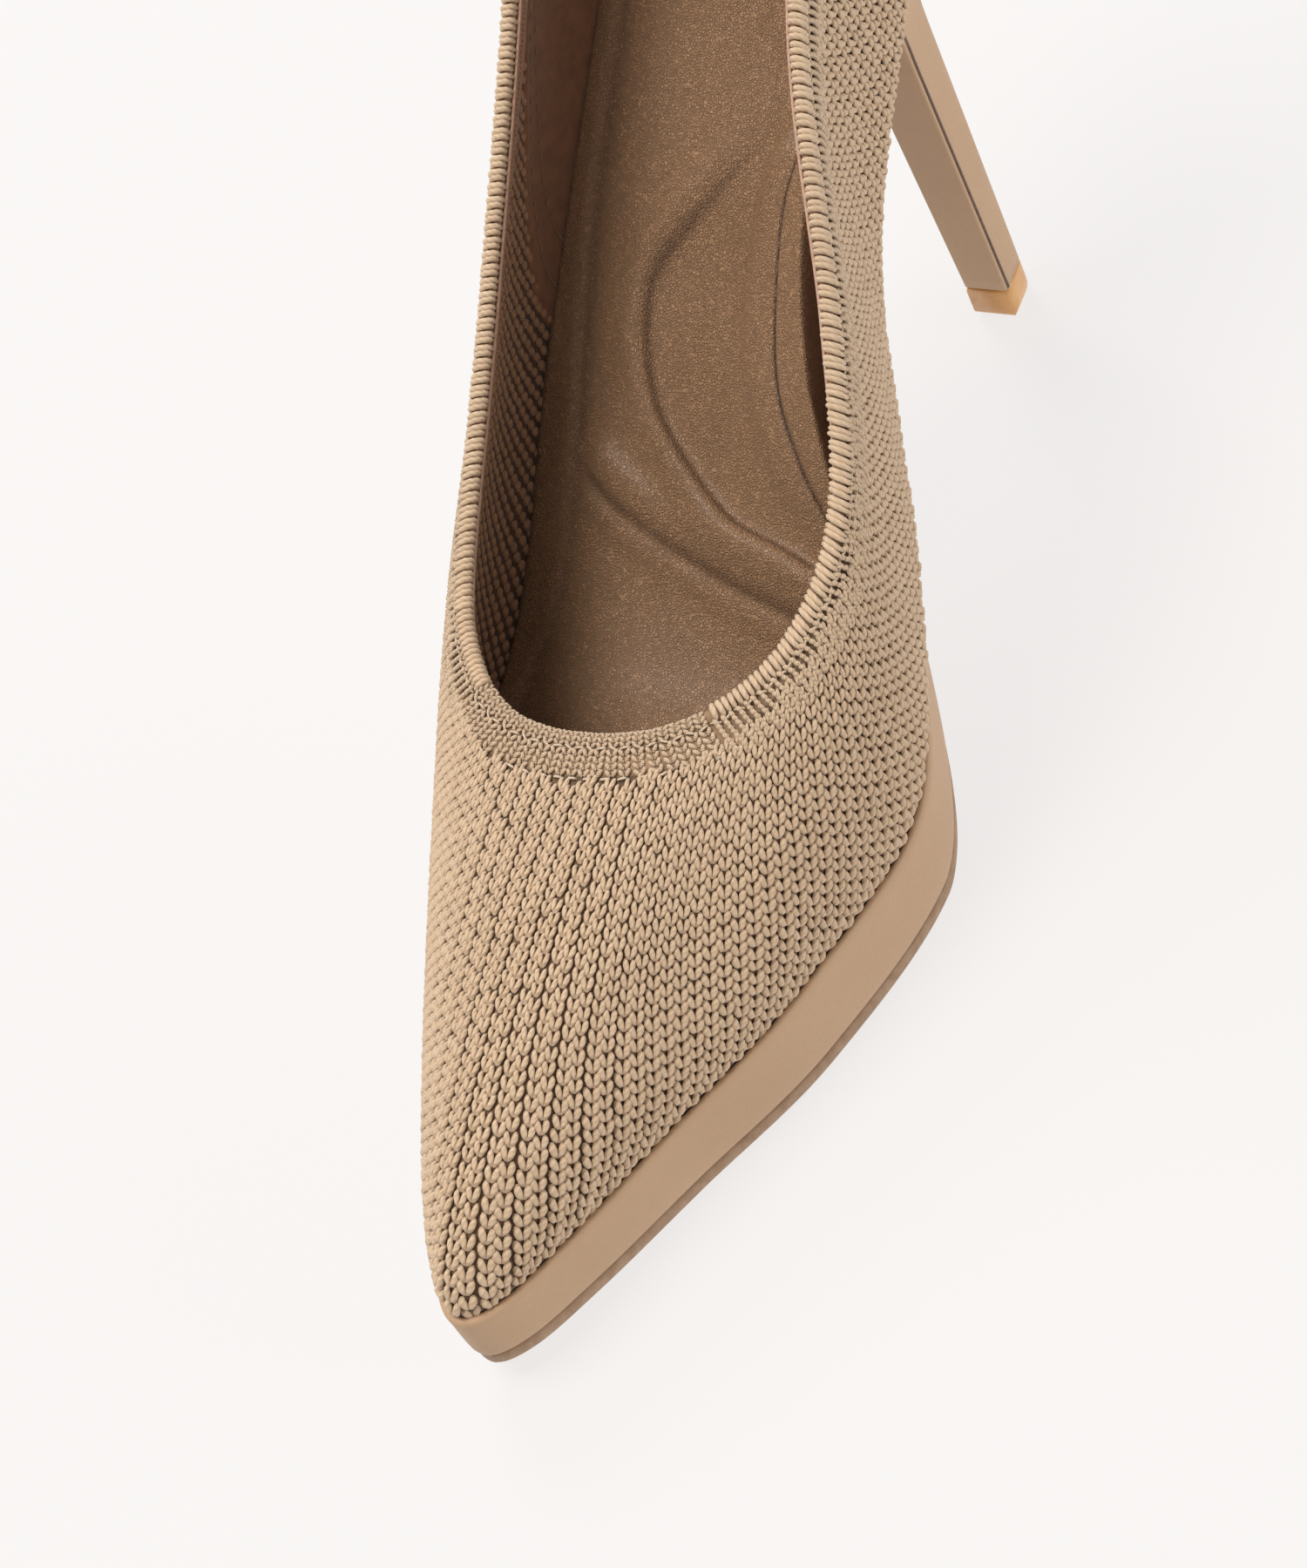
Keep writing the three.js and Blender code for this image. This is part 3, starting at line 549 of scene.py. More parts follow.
liftPlastic = solidMaterial("liftPlastic", fromSrgb(222, 170, 104), fromSrgb(204, 148, 84), 0.32, scale=180.0,
                            subsurfaceWeight=0.25, subsurfaceScale=0.004, coatWeight=0.3)
bindingFibre = solidMaterial("bindingFibre", fromSrgb(206, 172, 150), fromSrgb(190, 152, 130), 0.3, scale=900.0)
# dark strip in the heel joints: painted shade for the gap, and the covers' dark edge paint
jointShadeAndEdgePaint = solidMaterial("jointShadeAndEdgePaint", fromSrgb(96, 66, 44), fromSrgb(78, 52, 34), 0.45, scale=900.0)
foam = solidMaterial("foam", fromSrgb(214, 200, 176), fromSrgb(186, 170, 142), 0.95, scale=900.0, depth=0.0002)
fibreboard = solidMaterial("fibreboard", fromSrgb(176, 148, 112), fromSrgb(146, 118, 86), 0.9, scale=700.0,
                           depth=0.00008, stretch=(1, 0.25, 1))
steel = solidMaterial("steel", fromSrgb(170, 173, 178), fromSrgb(138, 141, 147), 0.32, scale=400.0, metallic=1.0,
                      stretch=(1, 0.08, 1))
mouldedPlastic = solidMaterial("mouldedPlastic", fromSrgb(204, 194, 178), fromSrgb(186, 176, 160), 0.55)
print("materials made:", len(bpy.data.materials))


# laying stitches, beads and threads

def buildLayTree():
    # puts one small shape on every point of a mesh, turned by the point's own directions
    tree = bpy.data.node_groups.new("layShapes", "GeometryNodeTree")
    face = tree.interface
    face.new_socket("Geometry", in_out="INPUT", socket_type="NodeSocketGeometry")
    face.new_socket("Shape", in_out="INPUT", socket_type="NodeSocketObject")
    for label, value in (("Width", 1.0), ("Length", 1.0), ("Height", 1.0), ("Wobble", 0.0), ("Uneven", 0.0)):
        socket = face.new_socket(label, in_out="INPUT", socket_type="NodeSocketFloat")
        socket.default_value = value
    face.new_socket("Seed", in_out="INPUT", socket_type="NodeSocketInt")
    face.new_socket("Finish", in_out="INPUT", socket_type="NodeSocketMaterial")
    face.new_socket("Geometry", in_out="OUTPUT", socket_type="NodeSocketGeometry")
    given = tree.nodes.new("NodeGroupInput").outputs
    out = tree.nodes.new("NodeGroupOutput")

    def named(label):
        return addNode(tree, "GeometryNodeInputNamedAttribute", {"data_type": "FLOAT_VECTOR"},
                       Name=label).outputs["Attribute"]

    turn = addNode(tree, "FunctionNodeAxesToRotation", {"primary_axis": "Z", "secondary_axis": "Y"},
                   i0=named("facing"), i1=named("along")).outputs[0]
    spin = addNode(tree, "FunctionNodeRandomValue", {"data_type": "FLOAT_VECTOR"}, Seed=given["Seed"])
    spin.inputs[0].default_value = (-1, -1, -1)
    spin.inputs[1].default_value = (1, 1, 1)
    sway = addNode(tree, "ShaderNodeVectorMath", {"operation": "SCALE"},
                   i0=spin.outputs[0], Scale=given["Wobble"]).outputs[0]
    wobbled = addNode(tree, "FunctionNodeRotateRotation", {"rotation_space": "LOCAL"}, i0=turn, i1=sway)
    uneven = addNode(tree, "FunctionNodeRandomValue", {"data_type": "FLOAT"},
                     Seed=maths(tree, "ADD", given["Seed"], 7.0))
    uneven.inputs[2].default_value = -1.0
    uneven.inputs[3].default_value = 1.0
    swell = maths(tree, "MULTIPLY_ADD", uneven.outputs[1], given["Uneven"], 1.0)
    size = addNode(tree, "ShaderNodeCombineXYZ", X=given["Width"], Y=given["Length"], Z=given["Height"])
    fitted = addNode(tree, "ShaderNodeVectorMath", {"operation": "MULTIPLY"},
                     i0=size.outputs[0], i1=named("fit")).outputs[0]
    scaled = addNode(tree, "ShaderNodeVectorMath", {"operation": "SCALE"}, i0=fitted, Scale=swell).outputs[0]
    shape = addNode(tree, "GeometryNodeObjectInfo", Object=given["Shape"])
    laid = addNode(tree, "GeometryNodeInstanceOnPoints", Points=given["Geometry"],
                   Instance=shape.outputs["Geometry"], Rotation=wobbled.outputs[0], Scale=scaled)
    shade = addNode(tree, "FunctionNodeRandomValue", {"data_type": "FLOAT"},
                    Seed=maths(tree, "ADD", given["Seed"], 3.0))
    tinted = addNode(tree, "GeometryNodeStoreNamedAttribute", {"data_type": "FLOAT", "domain": "INSTANCE"},
                     Geometry=laid.outputs[0], Name="tint", Value=shade.outputs[1])
    real = addNode(tree, "GeometryNodeRealizeInstances", Geometry=tinted.outputs[0])
    done = addNode(tree, "GeometryNodeSetMaterial", Geometry=real.outputs[0], Material=given["Finish"])
    tree.links.new(done.outputs[0], out.inputs[0])
    return tree


layTree = buildLayTree()


def layShapes(name, shape, points, facing, along, finish, fit=None, seed=1, **sizes):
    # points in millimetres; facing and along are the shape's own Z and Y; fit scales each one
    mesh = bpy.data.meshes.new(name + "Points")
    mesh.from_pydata(toRow(points).tolist(), [], [])
    fit = np.ones((len(points), 3)) if fit is None else fit
    for label, rows in (("facing", facing), ("along", along), ("fit", fit)):
        mesh.attributes.new(label, "FLOAT_VECTOR", "POINT").data.foreach_set("vector", np.ravel(rows))
    piece = addObject(name, mesh)
    modifier = piece.modifiers.new("lay", "NODES")
    modifier.node_group = layTree
    sockets = {item.name: item.identifier for item in layTree.interface.items_tree if item.in_out == "INPUT"}
    modifier[sockets["Shape"]] = shape
    modifier[sockets["Seed"]] = seed
    modifier[sockets["Finish"]] = finish
    for label, value in sizes.items():
        modifier[sockets[label.title()]] = value
    bpy.context.view_layer.update()
    graph = bpy.context.evaluated_depsgraph_get()
    result = bpy.data.meshes.new_from_object(piece.evaluated_get(graph))
    piece.modifiers.clear()
    piece.data = result
    result.name = name
    bpy.data.meshes.remove(mesh)
    result.shade_smooth()
    return piece


def yarnShape(name, strands, sides=6, reference=(0.0, 0.0, 1.0)):
    # strands: lists of (x, y, z, radius) in millimetres; each becomes a closed tube with its own UV
    verts, faces, uvs = [], [], []
    for strand in strands:
        path = np.array([knot[:3] for knot in strand], float)
        radii = np.array([knot[3] for knot in strand], float)
        ahead = unit(np.gradient(path, axis=0))
        side = unit(np.cross(ahead, np.array(reference, float)) + 1e-6)
        up = np.cross(side, ahead)
        first = len(verts)
        for n in range(len(path)):
            for k in range(sides):
                angle = 2 * math.pi * k / sides
                verts.append(path[n] + radii[n] * (side[n] * math.cos(angle) + up[n] * math.sin(angle)))
        for n in range(len(path) - 1):
            for k in range(sides):
                a, b = first + n * sides + k, first + n * sides + (k + 1) % sides
                faces.append((a, b, b + sides, a + sides))
                u0, u1 = n / (len(path) - 1), (n + 1) / (len(path) - 1)
                uvs += [(u0, k / sides), (u0, (k + 1) / sides), (u1, (k + 1) / sides), (u1, k / sides)]
        endRing = first + (len(path) - 1) * sides
        faces.append(tuple(first + k for k in range(sides))[::-1])
        faces.append(tuple(endRing + k for k in range(sides)))
        uvs += [(u, k / sides) for u in (0.0, 1.0) for k in range(sides)]
    mesh = bpy.data.meshes.new(name)
    mesh.from_pydata((np.array(verts) / 1000).tolist(), [], faces)
    layer = mesh.uv_layers.new(name="UVMap")
    layer.data.foreach_set("uv", np.ravel(uvs))
    mesh.update()
    mesh.shade_smooth()
    shape = addObject(name, mesh)
    turnOutwards(shape)
    return shape


def mirrored(strand):
    return [(-x, y, z, radius) for x, y, z, radius in strand]


# the knit's lattice of stitches

knit = {
    "wale": 2.0,  # spacing of the columns
    "course": 2.1,  # and of the rows; neighbouring columns sit half a row apart
    # over the vamp the columns run straight to the toe; down the sides they tip by these degrees at these y
    "tipAt": (20, 50, 83, 105, 116, 140, 157),
    "tip": (42, 46, 62, 76, 88, 103, 107),
    "collar": 7.2,  # knit starts below the collar
    "foot": 0.15,  # and ends this far above the feather line
    "lift": 0.02,
    "tuck": 0.75,  # the lowest stitches go this deep
    "width": 1.05,
    "length": 1.0,
    "open": 0.07,  # how far paired columns part over the toe and the middle of the vamp
    "backEdge": 9.86,  # the lattice stops at this station, and the back's own columns take over
    "backColumns": (9.9, 10.0, 10.1),
}


def solveLattice():
    # column and row numbers over the wall, by least squares along the wanted column direction
    across, up = 121, 15
    s, t = np.meshgrid(np.linspace(-10, 10, across), np.linspace(0, 1, up), indexing="ij")
    points = wallAt(s, t)
    normals = wallNormal(s, t)
    angle = np.radians(np.interp(points[..., 1], knit["tipAt"], knit["tip"]))
    hanging = np.stack([0 * angle, -np.cos(angle), -np.sin(angle)], -1)
    hanging = unit(hanging - (hanging * normals).sum(-1, keepdims=True) * normals)
    straight = unit(np.stack([0 * angle, -normals[..., 2], normals[..., 1]], -1))
    onVamp = (1 - smooth(np.abs(normals[..., 0]), 0.8, 0.97)) * (1 - smooth(points[..., 1], 85, 110))
    down = unit(mix(hanging, straight, onVamp[..., None]))
    sideways = np.cross(normals, down)
    number = np.arange(across * up).reshape(across, up)
    pairs = [(number[:-1].ravel(), number[1:].ravel()), (number[:, :-1].ravel(), number[:, 1:].ravel())]
    matrix = np.zeros((across * up, across * up))
    targets = np.zeros((across * up, 2))
    flat = points.reshape(-1, 3)
    goals = [sideways.reshape(-1, 3) / knit["wale"], -down.reshape(-1, 3) / knit["course"]]
    for a, b in pairs:
        step = flat[b] - flat[a]
        weight = 1 / np.maximum((step**2).sum(-1), 0.01) ** 0.5
        np.add.at(matrix, (a, a), weight)
        np.add.at(matrix, (b, b), weight)
        np.add.at(matrix, (a, b), -weight)
        np.add.at(matrix, (b, a), -weight)
        for column, goal in enumerate(goals):
            rise = ((goal[a] + goal[b]) / 2 * step).sum(-1) * weight
            np.add.at(targets[:, column], b, rise)
            np.add.at(targets[:, column], a, -rise)
    anchor = number[across // 2, -1]
    matrix[anchor, anchor] += 1.0
    answer = np.linalg.solve(matrix, targets)
    return answer[:, 0].reshape(across, up), answer[:, 1].reshape(across, up)


columnField, rowField = solveLattice()


def latticeNodes():
    # one entry for each stitch: where it sits on the wall, and its column and row
    s, t = np.meshgrid(np.linspace(-9.99, 9.99, 1800), np.linspace(0.0, 0.99, 220), indexing="ij")
    s, t = s.ravel(), t.ravel()
    column, row = readGrid(columnField, s, t), readGrid(rowField, s, t)
    i = np.round(column).astype(int)
    half = 0.5 * (i % 2)
    j = np.round(row - half).astype(int)
    miss = (column - i) ** 2 + (row - half - j) ** 2
    order = np.lexsort((miss, j, i))
    i, j, s, t, miss = i[order], j[order], s[order], t[order], miss[order]
    first = np.ones(len(i), bool)
    first[1:] = (np.diff(i) != 0) | (np.diff(j) != 0)
    keep = first & (miss < 0.04)
    return s[keep], t[keep], i[keep], j[keep]


def latticeFrame(s, t):
    # at each stitch: place, outward normal, direction down the column, and the local column and row spacing
    ds, dt = 0.02, 0.01
    alongS, alongT = wallSlopes(s, t)
    columnS = (readGrid(columnField, s + ds, t) - readGrid(columnField, s - ds, t)) / (2 * ds)
    columnT = (readGrid(columnField, s, t + dt) - readGrid(columnField, s, t - dt)) / (2 * dt)
    rowS = (readGrid(rowField, s + ds, t) - readGrid(rowField, s - ds, t)) / (2 * ds)
    rowT = (readGrid(rowField, s, t + dt) - readGrid(rowField, s, t - dt)) / (2 * dt)
    area = columnS * rowT - columnT * rowS
    area = np.where(np.abs(area) < 1e-6, 1e-6, area)[:, None]
    perColumn = (alongS * rowT[:, None] - alongT * rowS[:, None]) / area
    perRow = (alongT * columnS[:, None] - alongS * columnT[:, None]) / area
    normal = unit(np.cross(alongS, alongT))
    wide = np.linalg.norm(perColumn, axis=-1)
    tall = np.linalg.norm(perRow, axis=-1)
    return normal, -unit(perRow), unit(perColumn), wide, tall


nodeS, nodeT, nodeColumn, nodeRow = latticeNodes()
nodeNormal, nodeDown, nodeSide, nodeWide, nodeTall = latticeFrame(nodeS, nodeT)
nodePlace = wallAt(nodeS, nodeT)
nodeDrop = readGrid(gaugeDrop, nodeS, nodeT)
nodeRise = nodePlace[:, 2] - featherAt(nodeS)[0][:, 2]
print("knit lattice:", len(nodeS), "nodes, column spacing", round(float(np.median(nodeWide)), 2),
      "row spacing", round(float(np.median(nodeTall)), 2))

leg = [(-0.66, -1.0, -0.12, 0.28), (-0.68, -0.6, 0.22, 0.44), (-0.58, -0.1, 0.36, 0.5),
       (-0.40, 0.45, 0.32, 0.46), (-0.20, 0.95, 0.1, 0.34), (-0.08, 1.22, -0.16, 0.2)]
stitchShape = yarnShape("stitchShape", [leg, mirrored(leg)])


def knitStitches():
    # the lowest stitches dive in behind the lip of the platform, and the back is closed by its own columns
    onKnit = (nodeDrop > knit["collar"]) & (nodeRise > knit["foot"]) & (np.abs(nodeS) < knit["backEdge"])
    sink = knit["tuck"] * (1 - smooth(nodeRise, 0.3, 1.9))
    spread = np.clip(nodeWide / knit["wale"], 0.6, 1.6)
    stretch = np.clip(nodeTall / knit["course"], 0.6, 1.6)
    openness = (1 - smooth(nodePlace[:, 1], 60, 110)) * (1 - smooth(np.abs(nodeColumn), 6, 16))
    shift = knit["open"] * openness * np.where(nodeColumn % 2 == 0, 1, -1) * nodeWide
    place = nodePlace + nodeNormal * (knit["lift"] - sink)[:, None] + nodeSide * shift[:, None]
    fit = np.stack([spread * (1 - 0.06 * openness), stretch, 0.5 + 0.5 * spread], -1)
    fields = (("knitVampMedial", 0, 4.2), ("knitVampLateral", -4.2, 0),
              ("knitWaistMedial", 4.2, 7.2), ("knitWaistLateral", -7.2, -4.2),
              ("knitQuarterMedial", 7.2, 10), ("knitQuarterLateral", -10, -7.2))
    for seed, (name, start, end) in enumerate(fields, start=11):
        chosen = onKnit & (nodeS >= start) & (nodeS < end)
        piece = layShapes(name, stitchShape, place[chosen], nodeNormal[chosen], nodeDown[chosen], knitYarn,
                          fit=fit[chosen], seed=seed, width=knit["width"], length=knit["length"],
                          height=1.0, wobble=0.05, uneven=0.04)
        hand(piece, "knit")
        print(name, int(chosen.sum()), "stitches,", len(piece.data.polygons), "faces")
    drops = np.arange(knit["collar"] + 0.6, float(gaugeDrop[-1, 0]) - 1.0, knit["course"])
    s = np.tile(knit["backColumns"], len(drops))
    t = tBelow(s, np.repeat(drops, len(knit["backColumns"])))
    normal = wallNormal(s, t)
    down = -unit(wallSlopes(s, t)[1])
    seam = layShapes("backSeam", stitchShape, wallAt(s, t) + normal * 0.15, normal, down, knitYarn,
                     fit=np.tile([1.15, 1.0, 1.0], (len(s), 1)), seed=19)
    hand(seam, "knit")


def wallShell(name, sFrom, sTo, columns, rows, low, high, outside, inside, finish, closed=False):
    # skin that follows the wall between two depths; low and high give t for each s
    s = np.linspace(sFrom, sTo, columns + 1)[: columns if closed else columns + 1]
    k = np.linspace(0, 1, rows + 1)[None, :]
    bottom, top = low(s)[:, None], high(s)[:, None]
    t = bottom + (top - bottom) * k
    grid = np.broadcast_to(s[:, None], t.shape)
    points, normals = wallAt(grid, t), wallNormal(grid, t)
    return shell(name, points - normals * outside, points - normals * inside, finish, closed=closed)


def knitBase():
    # ground of the knit, turned in under the foot as a lasting margin; its dark colour is painted shade for the
    # holes between the stitches
    s = np.linspace(0, 20, 480, endpoint=False)
    k = np.linspace(0, 1, 35)[None, :]
    t = tBelow(s, 6.6)[:, None] * k
    grid = np.broadcast_to(s[:, None], t.shape)
    points, normals = wallAt(grid, t), wallNormal(grid, t)
    foot, outward = featherAt(s)
    reach = np.minimum(9.0, np.maximum(0.7 * np.abs(foot[:, 0]) / np.maximum(np.abs(outward[:, 0]), 0.2), 3.0))
    margin = []
    for part in (1.0, 0.66, 0.33, 0.12):
        edge = foot - outward * (reach * part)[:, None]
        edge[:, 2] = bedHeight(edge[:, 1]) + 0.3
        margin.append(edge)
    margin = np.stack(margin, 1)
    outer = np.concatenate([margin, points - normals * 0.12], 1)
    raised = margin + np.array([0, 0, 0.9])
    inner = np.concatenate([raised, points - normals * 1.2], 1)
    inner[:, len(margin[0]), 2] = np.maximum(inner[:, len(margin[0]), 2], foot[:, 2] + 0.9)
    return hand(shell("knitUpper", outer, inner, knitGroundShade, closed=True), "knit", "knit_upper")


knitBase()
knitStitches()
print("knit laid")


# collar: rolled edge, ribs and two seams

collar = {
    "fingerPitch": 1.04,  # lobes of yarn over the rolled edge, two to a rib pair
    "ribPitch": 1.24,
    "ribDrops": (2.35, 3.15, 3.95, 4.75, 5.55, 6.35, 7.1),
    "throatPitch": 1.9,
    "throatDrops": (2.95, 4.05, 5.15, 6.25),
    "edgeSeam": 2.3,
    "edgeSeamPitch": 1.9,
    "lowSeam": 7.25,
    "lowSeamPitch": 2.3,
    "lean": 46.0,  # ribs bend this far towards the toe on the quarters, in degrees
    "throat": 2.7,  # the edge changes from rows of stitches to lobes at this station
}


def toplineStations(pitch):
    # stations spaced evenly along the topline
    s = np.linspace(-10, 10, 4001)
    edge = wallAt(s, 1.0)
    length = np.concatenate([[0], np.cumsum(np.linalg.norm(np.diff(edge, axis=0), axis=-1))])
    count = 2 * round(length[-1] / pitch / 2)
    return np.interp((np.arange(count) + 0.5) / count * length[-1], length, s)


def hangDown(s, drops, lean=0.0):
    # walks down the wall from the topline, square to it and then leaning towards the toe
    s = np.asarray(s, float).copy()
    t = np.ones_like(s)
    bend = np.radians(lean) * smooth(np.abs(wrapped(s)), 2.6, 5.0) * (1 - smooth(np.abs(wrapped(s)), 8.6, 9.9))
    forward = -np.sign(wrapped(s))

    def frameAt(walked):
        alongS, alongT = wallSlopes(s, t)
        normal = unit(np.cross(alongS, alongT))
        ahead = unit(alongS)
        down = np.cross(ahead, normal)
        angle = bend * smooth(walked, 1.5, 6.5)
        way = down * np.cos(angle)[:, None] + ahead * (forward * np.sin(angle))[:, None]
        return alongS, alongT, normal, way

    step, walked = 0.25, 0.0
    places, normals, downs = [], [], []
    for drop in sorted(drops):
        while walked < drop - 1e-6:
            advance = min(step, drop - walked)
            alongS, alongT, normal, way = frameAt(walked)
            a, b, c = (alongS**2).sum(-1), (alongS * alongT).sum(-1), (alongT**2).sum(-1)
            p, q = (way * alongS).sum(-1), (way * alongT).sum(-1)
            area = a * c - b * b
            s += advance * (p * c - q * b) / area
            t += advance * (q * a - p * b) / area
            t = np.minimum(t, 1.0)
            walked += advance
        alongS, alongT, normal, way = frameAt(drop)
        places.append(wallAt(s, t))
        normals.append(normal)
        downs.append(way)
    return np.array(places), np.array(normals), np.array(downs)


def hangAt(s, drop, lean=0.0):
    # one row of hangDown: its places, normals and directions down
    return [rows[0] for rows in hangDown(s, [drop], lean)]


def collarBand():
    # the knitted band under its stitches: up the outside, over the edge and a little way down the inside
    s = np.linspace(0, 20, 480, endpoint=False)
    outside = [(7.1, -0.5), (6.9, -0.15), (6.2, 0.1), (5.0, 0.2), (3.6, 0.12), (2.8, -0.1), (2.3, -0.25),
               (1.9, -0.1), (1.2, 0.12), (0.4, 0.05)]
    over = [(-0.15, -0.35), (-0.25, -0.9), (0.0, -1.4), (0.8, -1.7), (1.9, -1.8)]
    back = [(1.9, -1.3), (4.5, -1.2), (7.0, -1.2)]
    rings = []
    sunk = smooth(np.abs(wrapped(s)), collar["throat"], collar["throat"] + 0.4)[:, None]
    for drop, out in outside + over + back:
        place, normal, down = hangAt(s, max(drop, 0.0))
        out = out - 0.35 * sunk * (1 - smooth(-out, 0.0, 0.6))
        rings.append(place + normal * out + down * min(drop, 0.0))
    band = sweep("collarBand", np.stack(rings, 1), ribGround, closedPath=True)
    return hand(band, "rib", "collar_rib")


def collarYarn():
    # plump lobes over the edge along the quarters, rows of small stitches over it at the throat
    fingerStrand = [(0, 1.85, -0.1, 0.28), (0, 1.4, 0.22, 0.5), (0, 0.7, 0.42, 0.6), (0, -0.05, 0.22, 0.62),
                    (0, -0.42, -0.45, 0.6), (0, -0.36, -1.05, 0.52), (0, 0.2, -1.5, 0.4), (0, 0.9, -1.6, 0.22)]
    finger = yarnShape("fingerShape", [fingerStrand], sides=8, reference=(1, 0, 0))
    rib = [(-0.8, -0.5, -0.12, 0.24), (-0.78, -0.2, 0.2, 0.36), (-0.52, 0.2, 0.26, 0.38), (-0.16, 0.62, 0.0, 0.24)]
    ribShape = yarnShape("ribShape", [rib, mirrored(rib)], sides=6)
    cord = yarnShape("cordShape", [[(0.1, -0.55, 0.0, 0.24), (0.07, -0.28, 0.3, 0.4), (-0.05, 0.12, 0.34, 0.42),
                                    (-0.1, 0.5, 0.05, 0.24)]], sides=7)
    s = toplineStations(collar["fingerPitch"])
    place, normal, down = hangAt(s, 0.0)
    odd = np.arange(len(s)) % 2
    onSides = smooth(np.abs(s), 2.5, 5)
    ahead = np.cross(normal, down)
    nudge = ahead * ((odd - 0.5) * 0.2 * onSides)[:, None]
    leaning = unit(down - ahead * (np.sign(s) * 0.42 * onSides)[:, None])
    fit = np.stack([0.8 - 0.04 * (1 - onSides), 1 + 0.3 * onSides, 0.96 + 0.1 * (odd - 0.5) * onSides], -1)
    for name, side in (("collarEdgeMedial", s >= collar["throat"]), ("collarEdgeLateral", s < -collar["throat"])):
        piece = layShapes(name, finger, (place + nudge)[side], normal[side], leaning[side], ribYarn, fit=fit[side],
                          seed=31, wobble=0.06, uneven=0.05)
        hand(piece, "rib")
    s = toplineStations(collar["throatPitch"])
    s = s[np.abs(s) <= collar["throat"]]
    points, facing, along = [], [], []
    for turn, drop, out in ((-75, 0.0, -1.1), (-30, 0.0, -0.3), (0, 0.85, 0.1), (0, 1.65, 0.05)):
        place, normal, down = hangAt(s, drop)
        angle = math.radians(turn)
        points.append(place + normal * out - down * (0.35 if turn < -50 else 0.0))
        facing.append(normal * math.cos(angle) + down * math.sin(angle))
        along.append(down * math.cos(angle) - normal * math.sin(angle))
    edgeFit = np.tile([0.9, 0.75, 0.8], (len(s) * 4, 1))
    bandRows = hangDown(s, collar["throatDrops"])
    for place, normal, down in zip(*bandRows):
        points.append(place + normal * 0.1)
        facing.append(normal)
        along.append(down)
    bandFit = np.tile([0.96, 0.98, 1.0], (len(s) * len(collar["throatDrops"]), 1))
    piece = layShapes("collarThroat", ribShape, np.concatenate(points), np.concatenate(facing),
                      np.concatenate(along), ribYarn, fit=np.concatenate([edgeFit, bandFit]), seed=37, wobble=0.05,
                      uneven=0.05)
    hand(piece, "rib")
    s = toplineStations(collar["ribPitch"])
    s = s[np.abs(s) > collar["throat"]]
    places, normals, downs = hangDown(s, collar["ribDrops"], collar["lean"])
    stations = np.broadcast_to(s, places.shape[:2])
    for name, side in (("collarRibsMedial", stations >= 0), ("collarRibsLateral", stations < 0)):
        piece = layShapes(name, cord, (places + normals * 0.1)[side], normals[side], downs[side], ribYarn, seed=41,
                          wobble=0.08, uneven=0.06)
        hand(piece, "rib")
    return finger, ribShape, cord


binding = {"depth": 2.0, "radius": 0.26}
eightWays = np.linspace(0, 2 * math.pi, 8, endpoint=False)


def bindingThread():
    # fine clear binding along the inside of the edge
    s = np.linspace(0, 20, 640, endpoint=False)
    place, normal, down = hangAt(s, 0.25)
    centre = place - normal * binding["depth"]
    rings = [centre + binding["radius"] * (normal * math.cos(a) + down * math.sin(a)) for a in eightWays]
    return hand(sweep("bindingThread", np.stack(rings, 1), bindingFibre, closedPath=True), "tape")


def collarSeams():
    edgeStitch = [(-0.95, 0.2, -0.1, 0.1), (-0.6, 0.12, 0.2, 0.18), (0, 0, 0.28, 0.2),
                  (0.6, -0.12, 0.2, 0.18), (0.95, -0.2, -0.1, 0.1)]
    lowStitch = [(-0.85, 0, -0.2, 0.12), (-0.5, 0, 0.2, 0.22), (0.5, 0, 0.2, 0.22), (0.85, 0, -0.2, 0.12)]
    shapes = []
    for name, strand, drop, pitch, tilt in (
        ("edgeSeam", edgeStitch, collar["edgeSeam"], collar["edgeSeamPitch"], 0.35),
        ("lowSeam", lowStitch, collar["lowSeam"], collar["lowSeamPitch"], 0.0),
    ):
        shape = yarnShape(name + "Shape", [strand])
        s = toplineStations(pitch)
        place, normal, down = hangAt(s, drop, collar["lean"])
        swing = np.where(np.arange(len(s)) % 2 == 0, tilt, -tilt)[:, None]
        down = unit(down + np.cross(normal, down) * swing)
        piece = layShapes(name, shape, place + normal * 0.08, normal, down, seamThread, seed=51, wobble=0.06)
        hand(piece, "rib")
        shapes.append(shape)
    return shapes


collarBand()
bindingThread()
collarShapes = collarYarn()
seamShapes = collarSeams()
print("collar laid")


# inside of the upper

lining = {
    "depth": 2.2,  # of the lining's face below the outside of the knit
    "back": 1.35,  # and of its back
    "tapeBack": 1.7,
    "tapeFace": 2.5,
    "foot": 0.03,  # the lining starts this far up the wall
    "tapeLow": 9.0,
    "tapeHigh": 1.3,
    "gripStation": 6.9,  # the heel grip starts here on both sides
    "gripSweep": 0.45,  # and its front edge leans by this much of a station
    "beadFrom": 1.4,
}


def gripEdge(k):
    # station of the heel grip's front edge at part k of the way up the wall
    return lining["gripStation"] + lining["gripSweep"] * (k - 0.5) - 0.25 * np.sin(math.pi * k)


